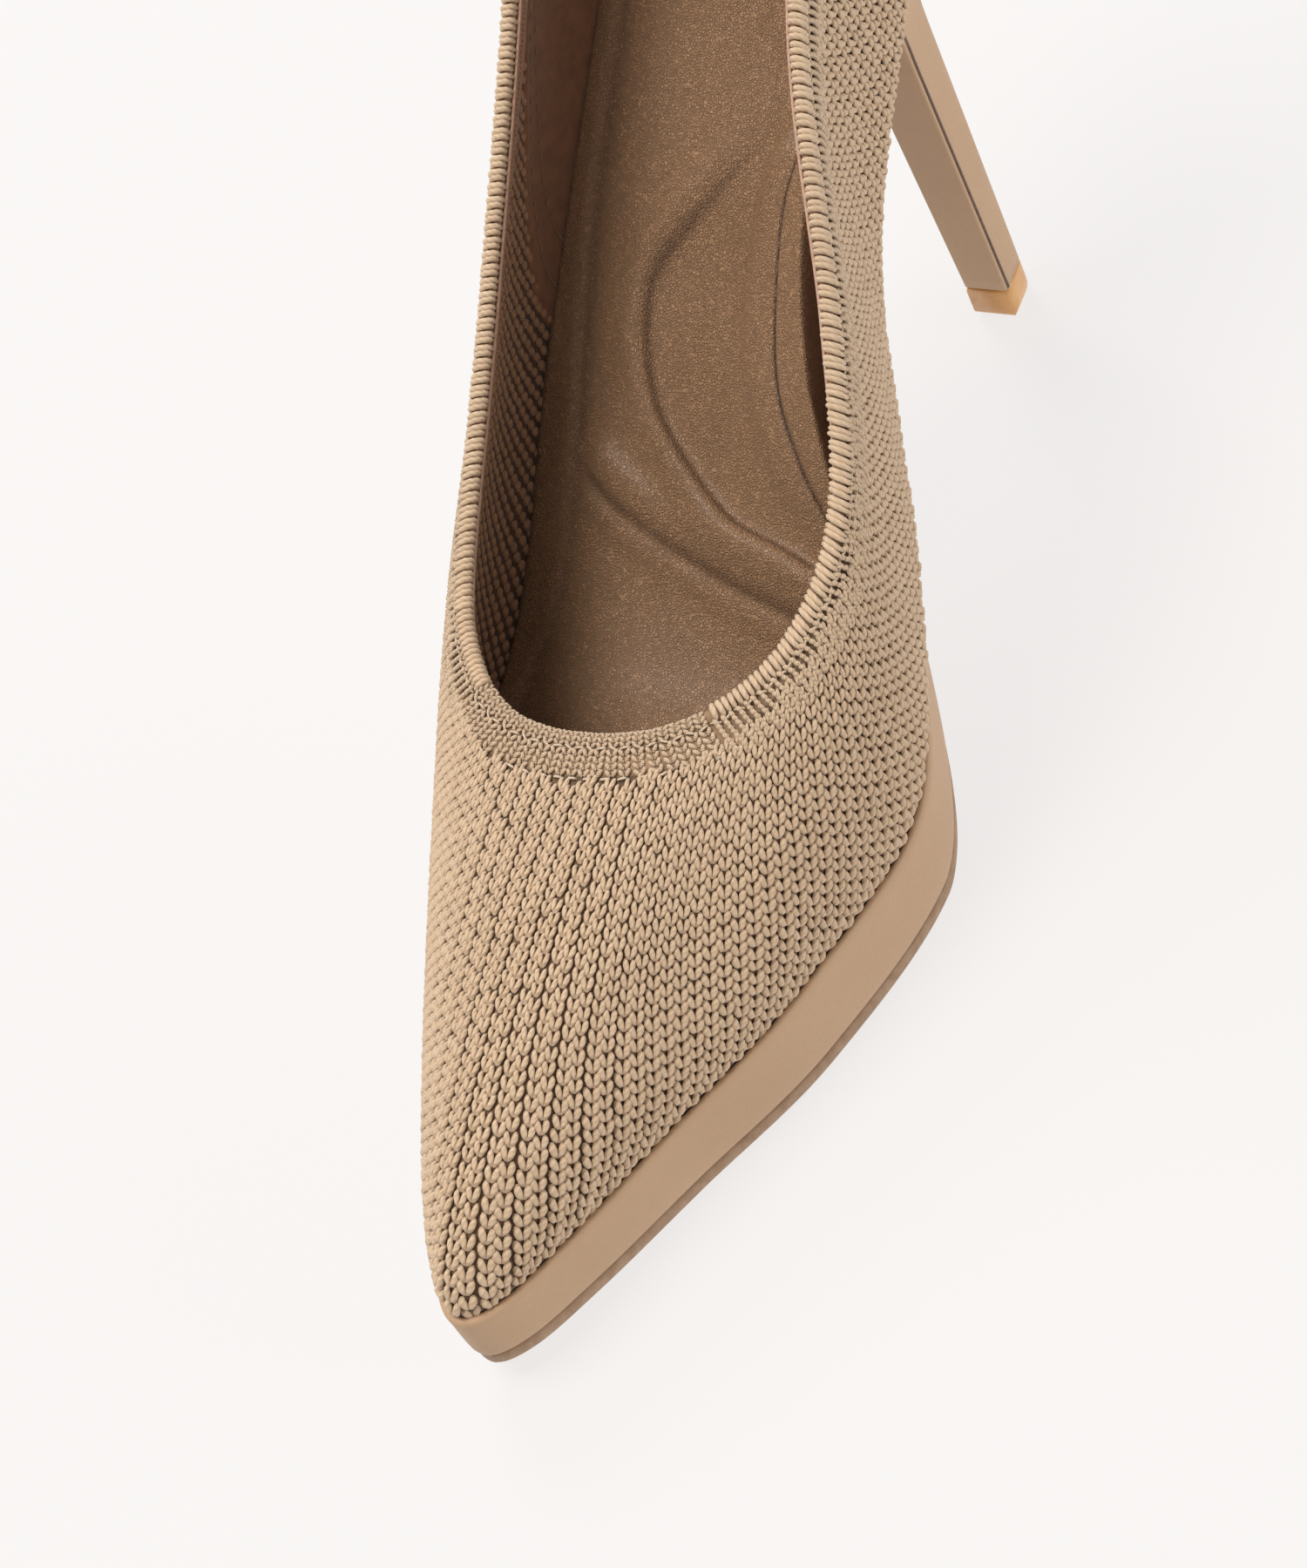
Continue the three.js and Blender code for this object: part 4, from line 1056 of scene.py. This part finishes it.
def liningSkins():
    edge = lining["gripStation"]
    for name, start, end, node in (("vampLining", -4.5, 4.5, "vamp_lining"),
                                   ("quarterLiningMedial", 4.5, edge + 0.5, "quarter_lining_medial"),
                                   ("quarterLiningLateral", -edge - 0.5, -4.5, "quarter_lining_lateral")):
        skin = wallShell(name, start, end, int((end - start) * 20), 24, lambda s: lining["foot"] + 0 * s,
                         lambda s: tBelow(s, lining["tapeLow"] - 0.6), lining["back"], lining["depth"],
                         liningGround)
        hand(skin, "lining", node)
    tape = wallShell("toplineTape", 0, 20, 480, 6, lambda s: tBelow(s, lining["tapeLow"]),
                     lambda s: tBelow(s, lining["tapeHigh"]), lining["tapeBack"], lining["tapeFace"],
                     tapeCloth, closed=True)
    hand(tape, "tape", "topline_tape")


def heelGrip():
    # suede piece round the inside of the heel, its front edges curved and double stitched
    k = np.linspace(0, 1, 25)
    front = gripEdge(k)[None, :]
    u = np.linspace(0, 1, 161)[:, None]
    s = front * (1 - u) + (last["stations"] - front) * u
    top = tBelow(s.ravel(), lining["tapeLow"] - 0.5).reshape(s.shape)
    t = mix(lining["foot"], top, k[None, :])
    points, normals = wallAt(s, t), wallNormal(s, t)
    border = np.minimum(u, 1 - u) * np.ones_like(s)
    face = lining["depth"] + 0.45 * smooth(border, 0.0, 0.006)
    grip = shell("heelGrip", points - normals * lining["back"], points - normals * face[..., None], suede)
    hand(grip, "suede", "heel_grip")
    stitch = yarnShape("gripStitchShape", [[(-0.75, 0, -0.2, 0.09), (-0.4, 0, 0.1, 0.15), (0.4, 0, 0.1, 0.15),
                                            (0.75, 0, -0.2, 0.09)]])
    places, normals, downs = [], [], []
    for end in (1, -1):
        for inset in (0.14, 0.3):
            part = np.linspace(0.04, 0.96, 24)
            edge = end * (gripEdge(part) + inset)
            t = mix(lining["foot"], tBelow(edge, lining["tapeLow"]), part)
            place, normal = wallAt(edge, t), wallNormal(edge, t)
            places.append(place - normal * (lining["depth"] + 0.5))
            normals.append(-normal)
            downs.append(unit(np.cross(np.gradient(place, axis=0), normal)))
    piece = layShapes("gripSeams", stitch, np.concatenate(places), np.concatenate(normals),
                      np.concatenate(downs), liningThread, seed=61)
    hand(piece, "suede")
    return stitch


def liningBeads():
    # back of the knit: one rounded loop for each stitch on the face
    bead = yarnShape("beadShape", [[(0, -0.95, -0.25, 0.3), (0, -0.5, 0.05, 0.68), (0, 0.1, 0.1, 0.74),
                                    (0, 0.6, 0.0, 0.6), (0, 1.0, -0.25, 0.28)]], sides=7)
    part = np.clip((nodeT - lining["foot"]) / 0.8, 0, 1)
    seen = (np.abs(nodeS) > lining["beadFrom"]) & (np.abs(nodeS) < gripEdge(part) + 0.1)
    seen &= (nodeDrop > lining["tapeLow"] - 0.6) & (nodeRise > 1.0)
    spread = np.clip(nodeWide / knit["wale"], 0.6, 1.5)
    stretch = np.clip(nodeTall / knit["course"], 0.6, 1.5)
    fit = np.stack([spread, stretch, np.ones_like(spread)], -1)
    place = nodePlace - nodeNormal * lining["depth"]
    for name, side in (("liningBeadsMedial", nodeS >= 0), ("liningBeadsLateral", nodeS < 0)):
        chosen = seen & side
        piece = layShapes(name, bead, place[chosen], -nodeNormal[chosen], nodeDown[chosen], liningYarn,
                          fit=fit[chosen], seed=71, wobble=0.06, uneven=0.06, height=0.55)
        hand(piece, "lining")
    return bead


def tapeEdge():
    # overlock thread along the tape's upper edge
    stitch = yarnShape("overlockShape", [[(0, 0.55, -0.05, 0.06), (0.1, 0.2, 0.12, 0.1), (-0.1, -0.2, 0.1, 0.1),
                                          (0, -0.5, -0.2, 0.06)]], sides=5)
    s = toplineStations(0.8)
    place, normal, down = hangAt(s, lining["tapeHigh"] + 0.45)
    piece = layShapes("tapeEdge", stitch, place - normal * lining["tapeFace"], -normal, down, liningThread,
                      seed=81, wobble=0.3, uneven=0.2)
    hand(piece, "tape")
    return stitch


liningSkins()
insideShapes = [heelGrip(), liningBeads(), tapeEdge()]
print("lining laid")


# footbed

sock = {
    "start": 9.0,
    "end": 233.6,
    "inset": 2.1,
    "columns": 205,
    # the raised flank beside the arch stops this far short of the feather line, at these y
    "flankAt": (100, 118, 130, 142, 155, 165, 185, 200),
    "flankInset": (0.0, 4.0, 9.5, 10.8, 9.4, 8.2, 4.0, 0.0),
    "base": 2.4,
    "under": 4.1,
    "thickness": 1.2,
    "lowest": 3.8,  # the cover never dips below the insole board
    "arch": 4.2,
    "rimWidth": 1.6,
    "rimDrop": 0.9,
}
sideStations = np.linspace(0, 10, 2001)
medialSide = closedCurve(featherLoop, sideStations)
lateralSide = closedCurve(featherLoop, 20 - sideStations)


def featherSides(y):
    return (np.interp(y, lateralSide[:, 1], lateralSide[:, 0]),
            np.interp(y, medialSide[:, 1], medialSide[:, 0]))


def openCurve(points, count=240):
    points = np.array(points, float)
    padded = np.concatenate([[2 * points[0] - points[1]], points, [2 * points[-1] - points[-2]]])
    k = np.linspace(0, len(points) - 1, count)
    i = np.minimum(k.astype(int), len(points) - 2)
    return spline(*[padded[i + n] for n in range(4)], (k - i)[:, None])


def distanceTo(curve, x, y):
    # signed distance from a drawn line, positive on its left as it is drawn; and how far along it, 0 to 1
    flat = np.stack([x.ravel(), y.ravel()], -1)
    away = ((flat[:, None, :] - curve[None, :, :]) ** 2).sum(-1)
    near = away.argmin(1)
    ahead = np.gradient(curve, axis=0)[near]
    gap = flat - curve[near]
    side = np.sign(ahead[:, 0] * gap[:, 1] - ahead[:, 1] * gap[:, 0])
    return (side * np.sqrt(away.min(1))).reshape(x.shape), (near / (len(curve) - 1)).reshape(x.shape)


archLine = openCurve([(9, 178), (-8.2, 163.7), (-14.8, 156.9), (-15.6, 150), (-13.8, 143.4), (-10.4, 138.8),
                      (-3.8, 133.2), (2.4, 129.3), (11.1, 126.5), (19, 123.9), (34, 121)])
flankLine = openCurve([(10, 181), (5.1, 171.5), (2.4, 163.4), (1.8, 150.2), (3.9, 141.6), (7.7, 135.6),
                       (16.4, 127), (30, 117)])
seamLine = openCurve([(14, 182), (10.1, 170.1), (8.3, 162.9), (8.3, 152.1), (9.5, 143.8), (12.9, 137.1),
                      (18.9, 129.9), (32, 119)])
creaseLine = openCurve([(-27, 134.6), (-20.8, 130.6), (-12.9, 127.3), (-5.1, 124.7), (3.1, 122.1), (16.4, 118.3),
                        (34, 114)])
borderLine = openCurve([(4, 223), (-12, 214), (-19.5, 200), (-22.8, 188.2), (-24.9, 174.5), (-26.6, 160),
                        (-27, 148), (-27.3, 134), (-29.4, 117), (-32.5, 104), (-30, 84)])


def bell(distance, width):
    return np.exp(-((distance / width) ** 2))


def footbedRelief(x, y):
    # height of the moulded surface over the flat footbed, and how deep in a crease each point is, used as the
    # strength of painted shade in the creases and the seam groove
    arch = sock["arch"] * smooth(y, 104, 138) * (1 - smooth(y, 150, 188)) * smooth(x, -6, 20)
    pads = 1.2 * smooth(y, 40, 60) * (1 - smooth(y, 96, 112)) + 1.4 * smooth(y, 184, 200)
    height = arch + pads
    creaseShade = np.zeros_like(x)

    d, k = distanceTo(archLine, x, y)
    ends = smooth(k, 0.0, 0.12) * (1 - smooth(k, 0.86, 0.98))
    height += ends * (1.9 * bell(d + 2.4, 2.6) - 0.6 * bell(d, 0.6) - 1.3 * smooth(d, -0.6, 1.2) * bell(d, 9))
    creaseShade += 0.45 * ends * bell(d, 0.5)

    d, k = distanceTo(creaseLine, x, y)
    ends = smooth(k, 0.0, 0.1)
    toeSide = -d
    height += ends * (1.5 * bell(toeSide + 2.6, 2.8) - 0.7 * bell(toeSide, 0.8)
                      - 0.8 * smooth(toeSide, -0.5, 1.5) * bell(toeSide, 22) + 0.9 * bell(toeSide - 2.4, 1.7))
    creaseShade += 0.5 * ends * bell(toeSide, 0.6)

    d, k = distanceTo(borderLine, x, y)
    outwardSide = -d
    strength = mix(1.0, 0.45, smooth(k, 0.62, 0.78)) * (1 - smooth(y, 192, 210))
    height += strength * (1.7 * smooth(outwardSide, -1.2, 1.6) - 0.35 * bell(outwardSide + 1.0, 0.8))
    creaseShade += 0.3 * strength * bell(outwardSide + 0.6, 0.6)

    d, k = distanceTo(flankLine, x, y)
    ends = smooth(k, 0.02, 0.15) * (1 - smooth(k, 0.8, 0.95))
    height += ends * 2.2 * smooth(d, -1.2, 2.2)

    d, k = distanceTo(seamLine, x, y)
    ends = smooth(k, 0.08, 0.2) * (1 - smooth(k, 0.84, 0.95))
    height += ends * (1.3 * smooth(d, 0.1, 1.0) + 2.2 * smooth(d, 1, 9) - 0.6 * bell(d, 0.3))
    creaseShade += 1.1 * ends * bell(d, 0.26)
    return height, creaseShade


def footbed():
    # rows crowd together where the footbed shows between the throat and the heel
    y = np.concatenate([np.linspace(sock["start"], 71, 40), np.linspace(71.5, 200, 340),
                        np.linspace(200.7, sock["end"], 45)])
    lateral, medial = featherSides(y)
    k = np.linspace(0, 1, sock["columns"])[None, :]
    lateral, medial = lateral + sock["inset"], medial - sock["inset"]
    middle = (lateral + medial) / 2
    half = np.maximum((medial - lateral) / 2, 0.8)
    x = (middle - half)[:, None] + 2 * half[:, None] * k
    rows = np.broadcast_to(y[:, None], x.shape)
    relief, creaseShade = footbedRelief(x, rows)
    toEdge = np.minimum(x - (middle - half)[:, None], (middle + half)[:, None] - x)
    ends = np.minimum(rows - y[0], y[-1] - rows)
    rim = smooth(np.minimum(toEdge, ends), 0.0, sock["rimWidth"])
    above = sock["under"] + sock["thickness"] + relief - sock["rimDrop"] * (1 - rim) ** 2
    past = x - (featherSides(y)[1] - np.interp(y, sock["flankAt"], sock["flankInset"]))[:, None]
    above = mix(np.maximum(above, sock["lowest"]), sock["lowest"], smooth(past, -1.3, 0.9))
    # painted shade also on the low strip past the flank, beside the wall
    creaseShade = np.maximum(creaseShade, smooth(past, -0.2, 1.0))
    top = bedHeight(rows) + above
    upper = np.stack([x, rows, top], -1)
    lower = np.stack([x, rows, bedHeight(rows) + sock["base"]], -1)[:, [-1, 0]]
    piece = sweep("footbed", np.concatenate([upper, lower], 1), sockLeather)
    values = np.concatenate([creaseShade, np.zeros((len(y), 2))], 1).ravel()
    piece.data.attributes.new("creaseShade", "FLOAT", "POINT").data.foreach_set("value", values)
    hand(piece, "leather", "sock_cover")
    return piece


pad = {"base": 1.6, "thin": 0.15, "crown": 0.65, "taper": 6}


def hiddenPad(name, node, start, end, inset, left=None):
    # foam under the footbed's cover, thinning to its edges
    y = np.linspace(start, end, 60)
    lateral, medial = featherSides(y)
    lateral, medial = lateral + inset, medial - inset
    if left is not None:
        lateral = np.maximum(lateral, left)
    k = np.linspace(0, 1, 32)[None, :]
    x = lateral[:, None] + (medial - lateral)[:, None] * k
    rows = np.broadcast_to(y[:, None], x.shape)
    toEdge = np.minimum(np.minimum(k, 1 - k) * (medial - lateral)[:, None], np.minimum(rows - start, end - rows))
    crown = pad["thin"] + pad["crown"] * np.sqrt(smooth(toEdge, 0, pad["taper"]))
    low = bedHeight(rows) + pad["base"]
    upper = np.stack([x, rows, low + crown], -1)
    lower = np.stack([x, rows, low], -1)
    piece = hand(shell(name, upper, lower, foam), "foam", node)
    return piece


footbed()
hiddenPad("forefootPad", "forefoot_pad", 48, 102, 7)
hiddenPad("archCookie", "arch_cookie", 113, 182, 5, left=0)
hiddenPad("heelPad", "heel_pad", 190, 226, 7)
print("footbed made")


# sole: wrapped platform and outsole

sole = {
    "wrapReach": 7.68,  # the wrap runs from this station on one side round the toe to the other
    "wrapBack": 0.8,
    "lip": 0.25,
    "coreNarrow": 7.0,  # the sole narrows by this much under the arch
    "outsoleNarrow": 8.0,
    "outsoleProud": 0.35,
    # outset from the feather line at each part of the wrap's height, from its lower edge to its lip
    "wrapProfile": [(-0.35, 0.0), (0.25, 0.008), (0.6, 0.035), (0.85, 0.12), (1.0, 0.3), (1.1, 0.5), (1.15, 0.7),
                    (1.25, 0.86), (1.3, 0.93), (1.15, 0.975), (0.8, 0.995), (0.35, 1.0), (-0.1, 0.985)],
    # outset and part of the height for the outsole's edge
    "outsoleProfile": [(-0.5, 0.0), (-0.12, 0.07), (0.1, 0.25), (0.12, 0.6), (0.0, 0.82), (-0.3, 0.94),
                       (-0.8, 1.0)],
}


def narrowing(y, depth):
    return depth * smooth(y, last["treadEnd"], last["waistStart"])


def platformWrap():
    s = np.linspace(-sole["wrapReach"], sole["wrapReach"], 321)
    foot, outward = featherAt(s)
    arch = narrowing(foot[:, 1], sole["coreNarrow"]) * np.sign(foot[:, 0])
    low = underHeight(foot[:, 1]) + outsoleThickness(foot[:, 1]) + 0.3
    high = bedHeight(foot[:, 1]) + sole["lip"]
    tall = high - low
    swell = 0.35 + 0.65 * smooth(tall, 1.5, 9)
    profile = []
    for outset, part in sole["wrapProfile"]:
        point = foot + outward * (outset * swell)[:, None]
        point[:, 0] -= arch
        point[:, 2] = low + tall * part
        profile.append(point)
    for part in (0.9, 0.5, 0.02):
        point = foot - outward * sole["wrapBack"]
        point[:, 0] -= arch
        point[:, 2] = low + tall * part
        profile.append(point)
    piece = sweep("platformWrap", np.stack(profile, 1), wrapLeather)
    return hand(piece, "wrap", "platform_wrap")


def outsole():
    y = 0.02 + (last["heelFront"] - 0.3) * np.linspace(0, 1, 300) ** 1.5
    lateral, medial = featherSides(y)
    arch = narrowing(y, sole["outsoleNarrow"])
    thick = outsoleThickness(y)
    low = underHeight(y)
    left, right = lateral + arch - sole["outsoleProud"], medial - arch + sole["outsoleProud"]
    half = (right - left) / 2
    ring = []
    for side, edge, profile in ((1, right, sole["outsoleProfile"]), (-1, left, sole["outsoleProfile"][::-1])):
        for outset, part in profile:
            x = edge + side * np.maximum(outset, -0.9 * half)
            ring.append(np.stack([x, y, low + thick * part], -1))
        if side > 0:
            for k in (0.8, 0.6, 0.4, 0.2):
                ring.append(np.stack([left + (right - left) * k, y, low + thick], -1))
    for k in (0.2, 0.4, 0.6, 0.8):
        ring.append(np.stack([left + (right - left) * k, y, low], -1))
    return hand(sweep("outsoleSheet", np.stack(ring, 1), soleSheet), "sole", "outsole")


platformWrap()
outsole()
print("sole made")


# heel

heel = {
    "sizeX": 7.8,
    "sizeY": 8.5,
    "liftHigh": 7.1,
    "centreY": 216.0,
    "lean": -0.03,
    "neckTop": 66.0,
    "cover": 0.8,
    "coverSetBack": 0.35,  # room for the breast cover
    "seamDepth": 0.12,
    "seamBack": 0.9,
    "seatInset": 0.6,
    "growX": 0.8,
    "growY": 1.0,
    "power": 2 / 5.5,
    "seatMedial": 7.76,
    # height and inset of the lift, from its tread up
    "liftProfile": [(0.0, 1.0), (0.25, 0.75), (0.9, 0.12), (1.2, 0.02), (3.0, 0.0), (6.3, 0.0), (6.8, 0.1),
                    (7.1, 0.45)],
}


def stemAt(part, z, inset):
    # part 0 is the medial front corner, 1 the lateral front corner, going round the back
    part, z = np.broadcast_arrays(np.asarray(part, float), np.asarray(z, float))
    climb = np.clip((z - heel["liftHigh"]) / (heel["neckTop"] - heel["liftHigh"]), 0, 1)
    halfX = heel["sizeX"] / 2 + heel["growX"] * climb - inset
    halfY = heel["sizeY"] / 2 + heel["growY"] * climb - inset
    angle = math.pi * part
    side = np.cos(angle)
    x = last["liftX"] + halfX * np.sign(side) * np.abs(side) ** heel["power"]
    y = heel["centreY"] + heel["lean"] * z - halfY + 2 * halfY * np.abs(np.sin(angle)) ** heel["power"]
    return np.stack([x, y, z], -1)


def heelAt(part, level, inset):
    # level 0 is the foot of the stem, 1 its top, 2 the seat under the footbed
    part, level = np.broadcast_arrays(np.asarray(part, float), np.asarray(level, float))
    bottom = heel["liftHigh"] + last["gap"]
    straight = stemAt(part, mix(bottom, heel["neckTop"], np.clip(level, 0, 1)), inset)
    stem = stemAt(part, np.full(part.shape, heel["neckTop"]), inset)
    seat, outward = featherAt(mix(heel["seatMedial"], last["stations"] - heel["seatMedial"], part))
    seat = seat - outward * (heel["seatInset"] + inset)
    front = (part < 1e-6) | (part > 1 - 1e-6)
    seat[..., 1] = np.where(front, last["heelFront"] + inset, seat[..., 1])
    seat[..., 2] = np.where(front, bedHeight(last["heelFront"]) + last["gap"], seat[..., 2])
    rise = seat[..., 2] - stem[..., 2]
    above = stem.copy()
    above[..., 2] += 0.5 * rise
    below = mix(seat, stem, 0.4)
    below[..., 2] = seat[..., 2] - 0.16 * rise
    t = np.clip(level - 1, 0, 1)[..., None]
    flare = (1 - t) ** 3 * stem + 3 * (1 - t) ** 2 * t * above + 3 * (1 - t) * t * t * below + t**3 * seat
    return np.where(level[..., None] <= 1, straight, flare)


heelLevels = np.concatenate([np.linspace(0, 1, 25), 1 + np.linspace(0, 1, 41)[1:]])


def underSeat(points):
    points[..., 2] = np.minimum(points[..., 2], bedHeight(points[..., 1]) - 0.15)
    return points


def heelCover():
    # leather round the sides and the back, its front edges turned in beside the breast cover
    part = 0.5 - 0.5 * np.cos(math.pi * np.linspace(0, 1, 97))
    grid, level = np.meshgrid(part, heelLevels, indexing="ij")
    outer, inner = heelAt(grid, level, 0.0), heelAt(grid, level, heel["cover"])
    shift = heel["cover"] + heel["coverSetBack"]
    for end in (0, -1):
        outer[end, :, 1] += shift
        inner[end, :, 1] = outer[end, :, 1]
        outer[end, :, 0] -= np.sign(outer[end, :, 0] - last["liftX"]) * 0.2
    piece = shell("heelCover", underSeat(outer), underSeat(inner), wrapLeather)
    return hand(piece, "wrap", "heel_cover")


def heelBreastCover():
    left = heelAt(np.full(len(heelLevels), 1.0), heelLevels, 0.0)
    right = heelAt(np.zeros(len(heelLevels)), heelLevels, 0.0)
    ring = []
    for across, back in ((0.0, 0.75), (0.0, 0.3), (0.012, 0.08), (0.05, 0.0), (0.3, 0.0), (0.7, 0.0), (0.95, 0.0),
                         (0.988, 0.08), (1.0, 0.3), (1.0, 0.75)):
        point = left + (right - left) * across
        point[:, 1] += back
        ring.append(point)
    piece = sweep("heelBreastCover", underSeat(np.stack(ring, 1)), wrapLeather)
    return hand(piece, "wrap", "heel_breast_cover")


def heelSeams():
    # dark tube in the joint between the side cover and the breast cover: painted shade for the gap, and the covers'
    # dark edge paint
    for part, name in ((0.0, "heelSeamMedial"), (1.0, "heelSeamLateral")):
        centre = heelAt(np.full(len(heelLevels), part), heelLevels, heel["seamDepth"])
        centre[:, 1] += heel["seamBack"]
        ring = np.stack([0.32 * np.cos(eightWays), 0.42 * np.sin(eightWays), 0 * eightWays], -1)
        tube = sweep(name, underSeat(centre[:, None] + ring[None]), jointShadeAndEdgePaint)
        hand(tube, "wrap")


def heelLift():
    part = np.linspace(0, 1, 65)
    rings = []
    for z, inset in heel["liftProfile"]:
        section = stemAt(part, np.full(len(part), heel["liftHigh"]), inset)
        section[:, 2] = z
        rings.append(section)
    return hand(sweep("heelLift", np.stack(rings), liftPlastic), "lift", "heel_lift")


heelCover()
heelBreastCover()
heelSeams()
heelLift()
print("heel made")


# parts inside, kept as they come from the frame

insideFinishes = {
    "platform_core": foam, "bottom_filler": foam, "insole_board": fibreboard, "steel_shank": steel,
    "shank_rivet_front": steel, "shank_rivet_rear": steel, "heel_tube": steel, "lift_pin": steel,
    "heel_screw": steel, "heel_nail_1": steel, "heel_nail_2": steel, "heel_nail_3": steel, "heel_nail_4": steel,
    "toe_puff": fibreboard, "heel_counter": fibreboard, "heel_block": mouldedPlastic,
}
for name, finish in insideFinishes.items():
    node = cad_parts[name]
    node.data.materials.clear()
    node.data.materials.append(finish)


# stage

view = {
    "azimuth": 45.57,
    "elevation": 49.30,
    "roll": 28.78,
    "distance": 705.1,
    "lens": 124.8,
    "target": (-1.80, 89.98, 30.0),
}


def axesMatrix(x, y, z, place):
    return Matrix([[x[n], y[n], z[n], place[n]] for n in range(3)] + [[0, 0, 0, 1]])


def addCamera():
    azimuth, elevation, roll = [math.radians(view[key]) for key in ("azimuth", "elevation", "roll")]
    back = np.array([math.sin(azimuth) * math.cos(elevation), -math.cos(azimuth) * math.cos(elevation),
                     math.sin(elevation)])
    right = np.array([math.cos(azimuth), math.sin(azimuth), 0])
    above = np.cross(back, right)
    x = right * math.cos(roll) - above * math.sin(roll)
    y = right * math.sin(roll) + above * math.cos(roll)
    place = toRow(np.array(view["target"]) + view["distance"] * back)
    data = bpy.data.cameras.new("camera")
    data.sensor_fit = "HORIZONTAL"
    data.sensor_width = 36
    data.lens = view["lens"]
    data.clip_end = 20
    scene.camera = addObject("camera", data)
    scene.camera.matrix_world = axesMatrix(x, y, back, place)
    return x, back


def addLight(name, place, towards, width, height, power, colour=(1, 1, 1)):
    data = bpy.data.lights.new(name, "AREA")
    data.shape = "RECTANGLE"
    data.size, data.size_y = width, height
    data.energy = power
    data.color = colour
    z = unit(np.array(place, float) - np.array(towards, float))
    x = unit(np.cross([0.0, 0.0, 1.0], z))
    y = np.cross(z, x)
    addObject(name, data).matrix_world = axesMatrix(x, y, z, place)


def addStage():
    material, tree, shader = newMaterial("floorPaint", 0.9)
    noise = addNode(tree, "ShaderNodeTexNoise", Vector=objectPosition(tree), Scale=3.0)
    tint = mixColours(tree, fromSrgb(96, 94, 93), fromSrgb(92, 90, 89), noise.outputs[0])
    tree.links.new(tint, shader.inputs["Base Color"])
    shader.inputs["Emission Color"].default_value = fromSrgb(247, 245, 244)
    shader.inputs["Emission Strength"].default_value = stage["floorGlow"]
    mesh = bpy.data.meshes.new("floor")
    edge = 6.0
    mesh.from_pydata([(-edge, -edge, 0), (edge, -edge, 0), (edge, edge, 0), (-edge, edge, 0)], [], [(0, 1, 2, 3)])
    mesh.materials.append(material)
    floor = addObject("floor", mesh)
    floor.location.z = -0.0003
    world = bpy.data.worlds.new("studio")
    world.use_nodes = True
    sky = world.node_tree.nodes["Background"]
    sky.inputs[0].default_value = (1.0, 0.985, 0.965, 1)
    sky.inputs[1].default_value = stage["world"]
    scene.world = world


stage = {"floorGlow": 0.835, "world": 0.34, "key": 23.0, "sheen": 6.0, "fill": 7.0, "aim": (0, 110, 45)}
cameraRight, cameraBack = addCamera()
addStage()
centre = toRow(stage["aim"])
overhead = np.array([0.0, 0.0, 1.0])
addLight("key", centre - cameraRight * 0.62 + overhead * 1.15 + cameraBack * 0.35, centre, 0.8, 0.8, stage["key"],
         (1.0, 0.975, 0.94))
addLight("sheen", centre + np.array([-0.6, 0.6, 1.0]), centre, 0.5, 0.5, stage["sheen"])
addLight("fill", centre + cameraRight * 1.3 + overhead * 0.55 + cameraBack * 0.3, centre, 1.0, 0.8, stage["fill"],
         (1.0, 0.985, 0.97))
scene.view_settings.view_transform = "Standard"

for scratch in (stitchShape, *collarShapes, *seamShapes, *insideShapes):
    bpy.data.objects.remove(scratch)
